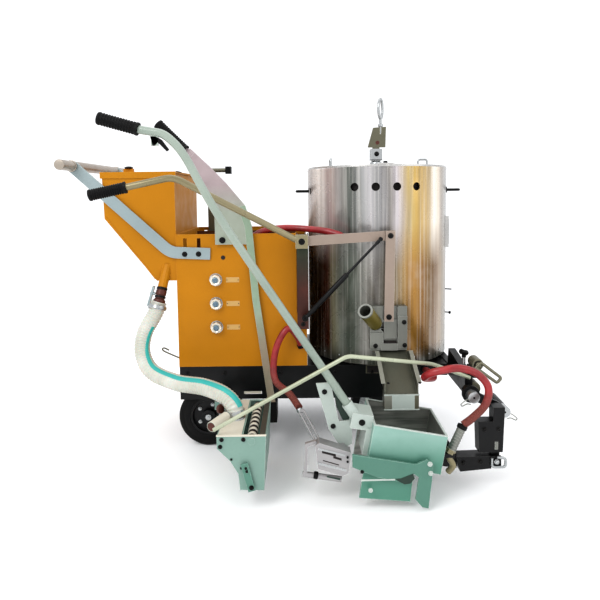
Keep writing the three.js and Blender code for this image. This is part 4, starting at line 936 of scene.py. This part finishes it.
vent_rims = Shape("dark", "bolt", "lid", "rust")
# Dark discs behind the vent holes: painted shade inside the kettle.
for a in VENTS:
    c, s = math.sin(a), -math.cos(a)
    vent_rims.use(0).disc(16, 221, 223.4, (KETTLE_X, 0, VENT_Z), (c, s, 0), 24)
for side in (-1, 1):
    root, tip = KETTLE_X + side * 237, KETTLE_X + side * 279
    loop = bent([(root, -55, 845), (tip, -55, 845), (tip, 55, 845), (root, 55, 845)], 10)
    vent_rims.use(1).sweep(loop, 4.6, 16)
    for y in (-55, 55):
        vent_rims.disc(11, 0, 2, (KETTLE_X + side * 232.6, y, 845), (side, 0, 0), 20)
vent_rims.use(2).box(KETTLE_X + 219, KETTLE_X + 235.6, -87, -73, 650, 756)
vent_rims.use(1).box(KETTLE_X + 235.5, KETTLE_X + 237, -84, -76, 660, 746)
vent_rims.use(3).box(KETTLE_X + 236.6, KETTLE_X + 241.5, -14, -6, 290, 425)
for out, z in ((271, 492), (264, 408)):
    vent_rims.use(1).rod((KETTLE_X + 238, 0, z), (KETTLE_X + out, 0, z - 2), 2.2)
vent_rims.turn([(0, 0), (5, 0), (6, 3), (5, 6), (0, 6)], (KETTLE_X + 262, 0, 406), (1, 0, -0.2), 16)
vent_rims.use(2)
for x, y in ((585, -236), (603, -235)):
    vent_rims.turn([(0, 0), (6, 0), (6, 6), (4, 8), (0, 8.5)], (x, y + 3, 919), UP, 18)
vent_rims.place("kettle_fittings", "chassis", bevel=0.5, slot="black_paint")

bolts = Shape("bright")
for a in around(24, 0.5):
    c, s = math.cos(a), math.sin(a)
    bolts.screw((KETTLE_X + RIVET_R * c, RIVET_R * s, 312), (c, s, 0), 2.6)
bolts.place("kettle_rivets", "chassis", slot="bright_steel")

pot = Shape("lid")
pot.turn([(0, 400), (212, 400), (215, 404), (215, 919.4), (239.6, 919.4), (KETTLE_R, 920.5),
          (239.6, 922.2), (212, 922.2), (212, 403), (0, 403)], KETTLE_FOOT, UP, 128)
pot.place("melting_pot", "chassis", ["kettle_pot"], slot="stainless")


def half_lid(name, node, side):
    lid = Shape("lid", "bright")
    outline = []
    start = math.asin(26 / LID_R)
    for i in range(49):
        a = -math.pi / 2 + start + (math.pi - 2 * start) * i / 48
        outline.append((KETTLE_X + side * LID_R * math.cos(a), LID_R * math.sin(a), LID_Z))
    lid.slab(outline, (0, 0, 3))
    mid = KETTLE_X + side * 160
    if side < 0:
        loop = [(mid, -40, 925), (mid, -40, 955.6), (mid, 40, 955.6), (mid, 40, 925)]
    else:
        loop = [(mid - 12, 0, 925), (mid - 12, 0, 952), (mid + 20, 0, 952), (mid + 20, 0, 925)]
    lid.use(1).sweep(bent(loop, 9), 3.6, 14)
    for foot in (loop[0], loop[-1]):
        lid.turn([(0, 0), (8, 0), (8, 1.2), (5, 2.2), (0, 2.2)], (foot[0], foot[1], 925.5), UP, 18)
    for y in (-150, 150):
        lid.disc(4, -18, 18, (KETTLE_X + side * 27, y, 926), LEFT, 14)
    lid.place(name, body=node.replace("kettle_", ""), replaces=[node], bevel=0.8, slot="stainless")


half_lid("half_lid_rear", "kettle_lid_rear", -1)
half_lid("half_lid_front", "kettle_lid_front", 1)

bridge = Shape("lid", "bright", "bolt")
bridge.box(KETTLE_X - 25, KETTLE_X + 25, -237, 237, LID_Z, 929.6)
bridge.use(1).turn([(13.4, 929), (24, 929), (24, 933), (21, 935), (21, 941), (19, 945), (13.4, 945),
                    (13.4, 929)], KETTLE_FOOT, UP, 40)
bridge.use(2)
for y in (-215, -60, 60, 215):
    bridge.bolt((KETTLE_X, y, 929.6), UP, 6)
bridge.place("lid_bridge_bar", "chassis", ["lid_bridge"], bevel=0.8, slot="stainless")

shaft = Shape("bright", "bolt", "lid")
shaft.turn([(0, 412), (10, 412), (12, 414), (12, 944), (15, 946), (17, 949), (15, 952), (0, 952)],
           KETTLE_FOOT, UP, 32)
for y in (-19, 6.2):
    shaft.box(KETTLE_X - 20, KETTLE_X + 20, y, y + 12.8, 951, 990)
shaft.box(KETTLE_X - 20, KETTLE_X + 20, -19, 19, 950, 953.8)
shaft.use(1).bolt((KETTLE_X, -19, 972), RIGHT, 6)
shaft.bolt((KETTLE_X, 19, 972), LEFT, 6)
shaft.use(2).box(KETTLE_X - 185, KETTLE_X + 185, -4, 4, 416, 452)
shaft.box(KETTLE_X - 4, KETTLE_X + 4, -170, 170, 542, 577)
shaft.box(KETTLE_X - 150, KETTLE_X + 150, -4, 4, 672, 707)
shaft.place("agitator", "agitator", ["agitator_shaft"], bevel=1.5, slot="bright_steel")

keep("crank_arm", "olive", 1.0)
crank_marks = Shape("rust")
crank_marks.disc(7, 0, 0.6, (586, -5, 1012), RIGHT, 24)
crank_marks.place("crank_pin_head", "crank", slot="dark_steel")

eye = Shape("bright")
EYE = Vector((597, 0, 1129))
turned = Matrix.Rotation(math.radians(62), 3, "Z")
ring_path = [EYE + turned @ Vector((20 * math.cos(a), 0, 34 * math.sin(a))) for a in around(40)]
rings = []
for i, point in enumerate(ring_path):
    ahead = (ring_path[(i + 1) % 40] - ring_path[i - 1]).normalized()
    out = (point - EYE).normalized()
    out = (out - ahead * out.dot(ahead)).normalized()
    rings.append(circle(point, out, ahead.cross(out), 5, 14))
eye.rings(rings, closed=True)
eye.turn([(0, 1044), (4.6, 1044.6), (5, 1046), (5, 1066), (8.4, 1067.6), (9, 1070), (9, 1076), (7, 1078),
          (5, 1079), (5, 1092), (6.4, 1098), (0, 1099)], (597, 0, 0), UP, 24)
eye.place("ring_eye", "crank_ring", ["crank_eye"], slot="bright_steel")

burner = Shape("olive", "bright")
burner.turn([(88, 320), (90, 318), (114, 318), (116, 320), (116, 340), (114, 342), (90, 342), (88, 340),
             (88, 320)], KETTLE_FOOT, UP, 64)
for a in around(3):
    x, y = KETTLE_X + BURNER_R * math.cos(a), BURNER_R * math.sin(a)
    burner.rod((x, y, 280.5), (x, y, 322), 7)
for a in around(24):
    jet = (KETTLE_X + BURNER_R * math.cos(a), BURNER_R * math.sin(a), 342)
    burner.use(1).turn([(0, 0), (4, 0), (4, 1.5), (1.6, 1.5), (0, 0.8)], jet, UP, 12)
burner.rod((KETTLE_X - 100, 0, 330), (KETTLE_X - 205, 0, 330), 11)
burner.place("ring_burner", "chassis", ["kettle_burner"], slot="dark_steel")


# ---------- outlet, gate and levers ----------
keep("outlet_housing", "housing", 0.8)
keep("slide_gate", "housing", 0.6)
keep("gate_link", "pink", 0.8)
keep("outlet_chute", "chute", 0.8)
# The lever post's dark channel is painted shade.
keep("lever_post", "channel", 0.8)

outlet = Shape("bolt", "housing", "gold", "dark")
for x, z in ((632, 435), (634, 362), (543, 361)):
    outlet.bolt((x, -266, z), RIGHT, 5)
outlet.use(1).box(560, 612, -266.6, -262.2, 346, 368)
for x0, x1 in ((613, 641), (527, 567)):
    outlet.box(x0, x1, -263, -236, 481, 485)
# A dark strip: painted shadow in the slot under the slide gate.
outlet.use(3).box(571, 609, -262.6, -254, 369, 374)
tube_from, tube_to = Vector((545, -257, 428)), Vector((503, -330, 486))
reach = (tube_to - tube_from).length
outlet.use(2).turn([(18.2, 6), (22.3, 6), (22.3, reach - 1), (21.5, reach + 0.6), (18.2, reach + 0.6),
                    (18.2, 6)], tube_from, tube_to - tube_from, 40)
outlet.use(1).collar(17.6, 22.9, reach - 7, reach + 0.9, tube_from, tube_to - tube_from, 40)
# A dark disc: painted shade inside the outlet tube.
outlet.use(3).disc(17.8, 10, 14, tube_from, tube_to - tube_from, 32)
outlet.place("outlet_fittings", "chassis", bevel=0.4, slot="stainless")

chute_edge = Shape("flange", "bolt", "white_green", "olive")
for x0, x1 in ((537, 549), (640, 652)):
    for (y0, z0), (y1, z1) in (((-264, 342.5), (-300, 353.6)), ((-300, 353.6), (-425, 296.5))):
        chute_edge.slab([(x0, y0, z0), (x1, y0, z0), (x1, y1, z1), (x0, y1, z1)], (0, 0.5, 1.8))
chute_edge.use(0).box(545.6, 566, -431.2, -429.4, 221, 266)
chute_edge.use(2).box(567, 631, -430.8, -429.4, 221, 266)
chute_edge.use(3).box(632, 643.4, -431.2, -429.4, 221, 266)
for z0, z1 in ((263, 266.5), (220.5, 224)):
    chute_edge.use(2).box(544, 645, -431.4, -429.4, z0, z1)
for x in (556, 646):
    chute_edge.use(1).screw((x, -428, 298), (0, -0.3, 1), 4)
chute_edge.place("chute_flanges", "chassis", bevel=0.4, slot="dark_steel")

lever = Shape("khaki", "pink", "bolt")
lever.sweep(bent([(-270, -399, 841), (-50, -370, 889), (302, -272, 695)], 26), 10, 24)
lever.box(297, 335, -282, -262.5, 670, 712)
lever.use(1).side_plate(strip([FULCRUM, (602, 707)], 30), -268.5, -262.7)
lever.use(2).bolt((FULCRUM[0], -282, FULCRUM[1]), RIGHT, 7)
lever.rod((FULCRUM[0], -263, FULCRUM[1]), (FULCRUM[0], -240, FULCRUM[1]), 7)
lever.place("gate_lever_bar", "gate_lever", ["gate_lever"], bevel=1.0, slot="yellow_zinc")
ribbed_grip("gate_handgrip", "gate_lever_grip", "gate_lever",
            (-283, -400.7, 838.2), (-179, -387, 860.9), 17, 10.8)

pins = Shape("bolt")
for x, z in (LINK_TOP, LINK_LOW):
    pins.bolt((x, -276.5, z), RIGHT, 6)
pins.place("link_bolts", "link", slot="black_paint")

foot, head = Vector((324, -287, 456)), Vector((556, -287, 697))
reach = (head - foot).length
barrel = Shape("black")
barrel.turn([(4.9, reach * 0.56), (7, reach * 0.56), (8, reach * 0.56 - 2), (8, 22), (6.4, 19), (6.4, 8),
             (4.9, 8), (4.9, reach * 0.56)], foot, head - foot, 28)
barrel.turn([(5.4, -6), (9.4, -6), (10, -5), (10, 5), (9.4, 6), (5.4, 6), (5.4, -6)], foot, LEFT, 28)
barrel.place("strut_barrel", "strut_tube", ["strut_body"], slot="black_paint")
piston = Shape("black")
piston.turn([(0, reach * 0.3), (4, reach * 0.3), (4, reach - 20), (5.6, reach - 18), (5.6, reach - 6),
             (0, reach - 6)], foot, head - foot, 20)
piston.turn([(0, -6), (5.6, -6), (6.2, -5), (6.2, 5), (5.6, 6), (0, 6)], head, LEFT, 24)
piston.place("strut_piston_rod", "strut_piston", ["strut_rod"], slot="bright_steel")
post_pin = Shape("bolt")
post_pin.bolt((324, -293.4, 456), RIGHT, 5, washer=False)
post_pin.bolt((318, -256, 430), RIGHT, 5)
post_pin.place("post_bolts", "chassis", slot="black_paint")


# ---------- marking shoe ----------
TILT = Matrix.Translation((500, 0, 229)) @ Matrix.Rotation(math.radians(10), 4, "Y")


def on_shoe(x, y, z):
    return TILT @ Vector((x, y, z))


def shoe_bar(shape, x0, x1, y0, y1, z, rise):
    """A bar square to the tilted shoe, from one height on it to another."""
    outline = [on_shoe(x0, y0, z), on_shoe(x1, y0, z), on_shoe(x1, y1, z), on_shoe(x0, y1, z)]
    shape.slab(outline, on_shoe(0, 0, rise) - on_shoe(0, 0, 0))


keep("shoe_box", "shoe", 0.8)
keep("shoe_side_plate", "mint_deep", 1.0)
keep("shoe_carrier", "white_green", 1.0)
keep("tow_arm", "black", 1.2)
keep("shoe_burner", "cast", 0.8)

rim = Shape("white_green", "housing", "bolt", "white_green", "deep")
for y0, y1 in ((-551, -544), (-368, -361)):
    shoe_bar(rim, -1, 198, y0, y1, 0, 2)
for x0, x1 in ((-1, 5), (192, 198)):
    shoe_bar(rim, x0, x1, -544, -368, 0, 2)
shoe_bar(rim.use(1), 193.4, 191.8, -540, -372, -2, -70)
rim.use(2)
for z in (-12, -80):
    for y in (-530, -385):
        rim.bolt(on_shoe(197, y, z), on_shoe(1, 0, 0) - on_shoe(0, 0, 0), 4)
rim.bolt(on_shoe(-28, -525, -8), RIGHT, 6)
for x, z in ((373, 297), (396, 200)):
    rim.bolt((x, -486, z), RIGHT, 5)
# A dark strip behind the lift bar: painted shadow of the bar.
rim.use(4).side_plate([(392, 328), (412, 320), (438, 268), (450, 218), (426, 206), (406, 250)],
                      -479.4, -477)
rim.use(3).collar(11.9, 15.4, -30, 14, LIFT_FOOT, LIFT_SLOPE, 28)
rim.place("shoe_rim", "shoe", bevel=0.5, slot="mint_paint")

hooks = Shape("white_green", "bolt", "deep")
hooks.side_plate([(463, 87), (463, 91), (552, 92), (552, 88.5)], -568.9, -567)
# A dark wedge: painted shadow on the side plate.
hooks.use(2).side_plate([(552, 92), (566, 93), (600, 106), (603, 92), (592, 79), (577, 77), (560, 86)],
                        -568.9, -567)
hooks.use(0)
hooks.screw((488, -568, 62), RIGHT, 6)
for x, z in ((643, 131), (645, 106)):
    hooks.bolt((x, -568, z), RIGHT, 4.6)
hooks.use(1).bolt((466, -568, 112), RIGHT, 3.4)
hooks.place("side_plate_bolts", "shoe_gate", slot="mint_paint")

lift = Shape("pale")
LIFT_LINE = [(-200, 1036), (-106, 1009), (-74, 1003), (-44, 996), (-14, 972), (12, 938), (53, 860),
             (98, 780), (200, 622), (449, 245), (460, 228)]
lift.sweep(spline([(x, LIFT_Y, z) for x, z in LIFT_LINE], 8), 11, 28)
lift.box(-74, -56, -504, -496, 966, 1000)
lift.place("shoe_lift_bar", "shoe", ["shoe_lever"], slot="pale_mint_paint")
ribbed_grip("shoe_handgrip", "shoe_lever_grip", "shoe",
            (-213, LIFT_Y, 1039.7), (-106, LIFT_Y, 1009), 17.5, 11.9, 12)
trigger = Shape("bolt")
trigger.side_plate([(-76, 991), (-71, 966), (-63, 966), (-56, 974), (-34, 951), (-28, 956), (-46, 981),
                    (-62, 991)], -504, -496)
trigger.bolt((-67, -504, 969), RIGHT, 2.4, washer=False)
trigger.place("trigger_lever", "trigger", ["lever_trigger"], bevel=0.8, slot="dark_steel")

flame = Shape("dark", "bright", "bolt", "deep")
SLOTS = (((363, 152), (400, 142), 7), ((393, 137), (415, 130), 6), ((365, 128), (408, 115), 2.4))
# The dark burner slots are painted shade inside them.
for (x0, z0), (x1, z1), tall in SLOTS:
    flame.use(0).side_plate([(x0, z0 - tall / 2), (x0, z0 + tall / 2), (x1, z1 + tall / 2),
                             (x1, z1 - tall / 2)], -536.8, -535.4)
flame.use(1).side_plate([(349, 118), (352, 124), (428, 103), (427, 97)], -537.4, -535.4)
flame.side_plate([(352, 158), (353, 163), (425, 144), (424, 139)], -537.4, -535.4)
flame.turn([(0, 0), (8, 0), (9, 2), (9, 9), (7, 12), (0, 12)], (303, -399, 216), (0.3, -0.5, -0.8), 18)
flame.use(2)
for z in (136, 124):
    flame.bolt((431, -536, z), RIGHT, 3, washer=False)
flame.turn([(0, 0), (9, 0), (10, 2), (10, 10), (8, 12), (0, 12)], (352, -520, 78), (-0.98, 0, 0.2), 16)
# A dark strip: painted shadow near the shoe's lower edge.
flame.use(3).slab([(376, -526.2, 76), (376, -526.2, 80), (412, -526.2, 72), (412, -526.2, 67)], (0, 1.4, 0))
flame.place("shoe_burner_pipes", "shoe", bevel=0.3, slot="bright_steel")

brass = Shape("khaki", "housing", "bolt")
SLEEVE, SLEEVE_AXIS = [(746, -500, 200), (730, -504, 169), (714, -508, 137)], (-32, -8, -63)
brass.sweep(bent([(715, -508, 139), (706, -509, 122), (722, -509, 96), (709, -500, 74)], 9), 8.5, 20)
brass.disc(13, 0, 12, (716, -508, 142), (-8, -1, -16), 6)
brass.use(1).sweep(SLEEVE, 11.2, 24)
for i in range(9):
    point = Vector(SLEEVE[0]).lerp(Vector(SLEEVE[2]), (i + 0.5) / 9)
    brass.turn([(11.2, -2.2), (12.2, 0), (11.2, 2.2), (11.2, -2.2)], point, SLEEVE_AXIS, 24)
brass.use(2).collar(11.2, 13.6, -6, 6, SLEEVE[0], SLEEVE_AXIS, 28, 1)
brass.place("hose_end", "shoe", slot="yellow_zinc")


# ---------- front tow gear ----------
keep("outrigger_beam", "black", 1.2)
keep("tow_bracket", "black", 1.2)

ends = Shape("bright", "olive", "bolt", "housing")
for x, z in (TOW_SHAFT, GUIDE_SHAFT):
    ends.use(0).turn([(0, 0), (15, 0), (16.2, 0.4), (16.2, 26), (0, 26)], (x, -452.6, z), LEFT, 36)
    ends.use(2).disc(3, 0, 1, (x, -452.6, z), RIGHT, 16)
ends.use(1).turn([(0, 0), (19, 0), (20, 2), (20, 38), (19, 40), (0, 40)], (815, -380, 262), LEFT, 36)
ends.turn([(12, 0), (16, 0), (17, 2), (17, 43), (16, 45), (12, 45), (12, 0)], (828, -373, 331), LEFT, 36)
for (x, z), flip in ((TOW_SHAFT, 1), (GUIDE_SHAFT, -1)):
    clip = [(x, -446, z)]
    clip += [(x + flip * dx, -448, z - dz) for dx, dz in ((22, 8), (37, 20), (33, 26), (18, 18), (8, 20))]
    ends.use(3).sweep(bent(clip, 4), 1.5, 10)
ends.use(3).box(847, 856, -468.8, -467.6, 120, 142)
ends.use(2)
for x, z in ((818, 178), (858, 178)):
    ends.bolt((x, -468, z), RIGHT, 4.5)
ends.place("shaft_ends", "chassis", bevel=0.3, slot="bright_steel")

shackle = Shape("bright", "bolt")
bow = [(838, -474, 98), (838, -474, 72), (876, -474, 72), (876, -474, 98), (852, -474, 100)]
shackle.sweep(bent(bow, 9), 3.6, 14)
shackle.bolt((852, -472, 86), RIGHT, 5)
shackle.use(1)
shackle.bolt((760, -470, 84), RIGHT, 5)
shackle.bolt((808, -470, 86), RIGHT, 5)
shackle.place("shackle", "shoe", slot="bright_steel")

grab = Shape("olive")
loop = [(819, -377, 322), (836, -377, 339), (880, -420, 307), (868, -420, 293), (821, -377, 324)]
grab.sweep(bent(loop, 6), 4.4, 16)
grab.rod((828.5, -380, 331.5), (828.5, -345, 331.5), 8)
grab.place("clamp_loop", "sleeve_handle", ["clamp_handle"], slot="yellow_zinc")
tee = Shape("grip", "bright")
tee.use(1).rod((798, -335, 323), (798, -335, 352), 5)
tee.use(0).turn([(0, 0), (6.4, 0.5), (8, 3), (7, 14), (8, 27), (6.4, 30), (0, 30.5)], (785, -343.6, 364),
                (26, 16, -11), 24)
tee.turn([(0, 0), (7, 0), (6, 6), (9, 14), (0, 14)], (798, -335, 344), UP, 20)
tee.place("clamp_tee", "sleeve_knob", ["clamp_knob"], slot="black_rubber")


# ---------- bead dispenser ----------
keep("bead_box", "mint", 0.8)
keep("bead_gate_arm", "mint_deep", 0.8)
SPOUT, SPOUT_AXIS = (100, -462, 221), (-31, -68, 0)
trim = Shape("white", "bolt", "rust", "bright", "dark_sheet", "mint")
trim.side_plate([(86, 207.5), (86, 211), (217, 211), (217, 207.5)], -561.4, -556)
trim.box(90, 152, -556, -312, 209.2, 211)
trim.use(5).turn([(0, 0), (9, 0), (10, 1), (10, 1.6), (0, 1.6)],
                 (ROLLER[0], BEAD_BOX_FACE, ROLLER[1]), RIGHT, 24)
trim.use(4).box(199, 214, -556, -312, 209.2, 211)
trim.use(1)
for x, z in ((100, 199), (157, 199), (96, 180)):
    trim.bolt((x, -560.4, z), RIGHT, 4)
for x, z in ((124.5, 146), (150, 122)):
    trim.bolt((x, -560.4, z), RIGHT, 3, washer=False)
trim.use(0).turn([(13.1, 0), (14, 1), (14, 74), (13.1, 75.5), (13.1, 0)], SPOUT, SPOUT_AXIS, 36)
trim.use(2).disc(11.6, 74.8, 75.6, SPOUT, SPOUT_AXIS, 36)
trim.use(2).turn([(0, 0), (12, 0), (13, 2), (13, 8), (9, 9), (0, 9)], (77, -438, 234), (1, -0.7, 0.2), 28)
trim.use(3).turn([(21, 0), (28, 0), (28, 6), (26, 8), (21, 8), (21, 0)], (124, -444, 207), UP, 36)
trim.place("bead_box_trim", "chassis", bevel=0.4, slot="mint_paint")

roller = Shape("dark", "white", "bright")
x, z = ROLLER
# The dark core between the white rings is painted shade between them.
roller.disc(13, 0, 226, (x, -545, z), LEFT)
for i in range(8):
    roller.use(1).turn([(12.5, 0), (13.6, 0), (14, 1), (14, 12), (13.6, 13), (12.5, 13), (12.5, 0)],
                       (x, -541 + 28.5 * i, z), LEFT, 24)
roller.use(2).rod((x, -559.5, z), (x, -304.5, z), 6)
roller.place("bead_feed_roller", "bead_roller", ["bead_roller"], slot="dark_steel")
arm_bolt = Shape("bolt")
arm_bolt.bolt((177, -571, 74), RIGHT, 4.5)
for z in (118, 127):
    arm_bolt.bolt((193.5 - 0.24 * z, -571, z), RIGHT, 3, washer=False)
arm_bolt.place("gate_arm_bolt", "bead_gate", slot="mint_paint")

brace = Shape("brace")
brace.sweep(bent([(81, -568, 229), (429, -568, 421), (677, -440, 357), (797, -395.5, 301)], 16), 5.4, 20)
brace.place("brace_bar", "chassis", ["brace_rod"], slot="yellow_zinc")


# ---------- gas hoses ----------
HOSES = {
    "gas_hose_top": [
        (150, -170, 696), (190, -165, 716), (250, -158, 726), (320, -165, 724), (400, -205, 716),
        (440, -222, 704), (462, -227, 690),
    ],
    "gas_hose_left": [
        (313, -214, 345), (297, -226, 386), (271, -240, 413), (240, -250, 374), (223, -262, 299),
        (231, -282, 257), (272, -330, 237), (303, -396, 218),
    ],
    "gas_hose_right": [
        (712, -204, 262), (706, -300, 284), (690, -400, 303), (656, -440, 318), (668, -468, 340),
        (700, -478, 351), (742, -478, 356), (794, -475, 338), (824, -475, 300), (816, -482, 258),
        (776, -496, 224), (749, -499, 205),
    ],
}
for node, points in HOSES.items():
    line = spline(points, 12)
    pipe = Shape("hose")
    pipe.sweep(line, 10.5, 24)
    if node == "gas_hose_top":
        pipe.place("hose_top", "chassis", [node], slot="red_hose")
    else:
        run = pipe.place(node.replace("gas_", ""), None, [node], slot="red_hose")
        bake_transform(run)

clamps = Shape("bolt")
for node in ("gas_hose_left", "gas_hose_right", "gas_hose_top"):
    first, second = Vector(HOSES[node][0]), Vector(HOSES[node][1])
    clamps.collar(10.6, 12.6, 2, 12.4, first, second - first, 28, 0.4)
clamps.place("hose_clamps", "chassis", slot="bright_steel")


# ---------- stage ----------
floor_mesh = bpy.data.meshes.new("floor")
floor_mesh.from_pydata([(-9, -9, 0), (9, -9, 0), (9, 9, 0), (-9, 9, 0)], [], [(0, 1, 2, 3)])
floor = bpy.data.objects.new("floor", floor_mesh)
bpy.context.scene.collection.objects.link(floor)
paper = Graph("paper")
paper_colour = paper.mix(paper.noise(2, 2), (0.985, 0.985, 0.985, 1), (0.995, 0.995, 0.995, 1))
floor_mesh.materials.append(paper.finish(paper_colour, 0.8, 0.0))

world = bpy.data.worlds.new("studio")
bpy.context.scene.world = world
world.use_nodes = True
sky = world.node_tree.nodes["Background"]
sky.inputs[0].default_value = (0.97, 0.98, 1.0, 1)
seen = world.node_tree.nodes.new("ShaderNodeLightPath").outputs["Is Camera Ray"]
power = world.node_tree.nodes.new("ShaderNodeMapRange")
power.inputs["To Min"].default_value, power.inputs["To Max"].default_value = 1.0, 1.05
world.node_tree.links.new(seen, power.inputs[0])
world.node_tree.links.new(power.outputs[0], sky.inputs[1])


def softbox(name, place, target, size, power):
    light = bpy.data.lights.new(name, "AREA")
    light.shape, light.size, light.energy = "SQUARE", size, power
    thing = bpy.data.objects.new(name, light)
    thing.location = at(*place)
    thing.rotation_euler = (at(*target) - thing.location).to_track_quat("-Z", "Y").to_euler()
    bpy.context.scene.collection.objects.link(thing)


softbox("key", (-1100, -2300, 2500), (250, -200, 450), 1.3, 34)
softbox("fill", (2300, -1500, 1500), (450, -200, 450), 1.6, 8)
softbox("top", (250, 300, 3000), (250, -100, 300), 2.2, 12)

eye_camera = bpy.data.cameras.new("camera")
eye_camera.lens, eye_camera.sensor_width = 33, 36
eye_camera.shift_y = -0.1055
camera = bpy.data.objects.new("camera", eye_camera)
camera.matrix_world = (
    Matrix.Translation(at(*CAMERA_AT))
    @ Matrix.Rotation(math.pi / 2 - CAMERA_DOWN, 4, "X")
    @ Matrix.Rotation(CAMERA_ROLL, 4, "Z")
)
bpy.context.scene.collection.objects.link(camera)
bpy.context.scene.camera = camera
bpy.context.scene.view_settings.view_transform = "Standard"
bpy.context.scene.view_settings.look = "Medium High Contrast"
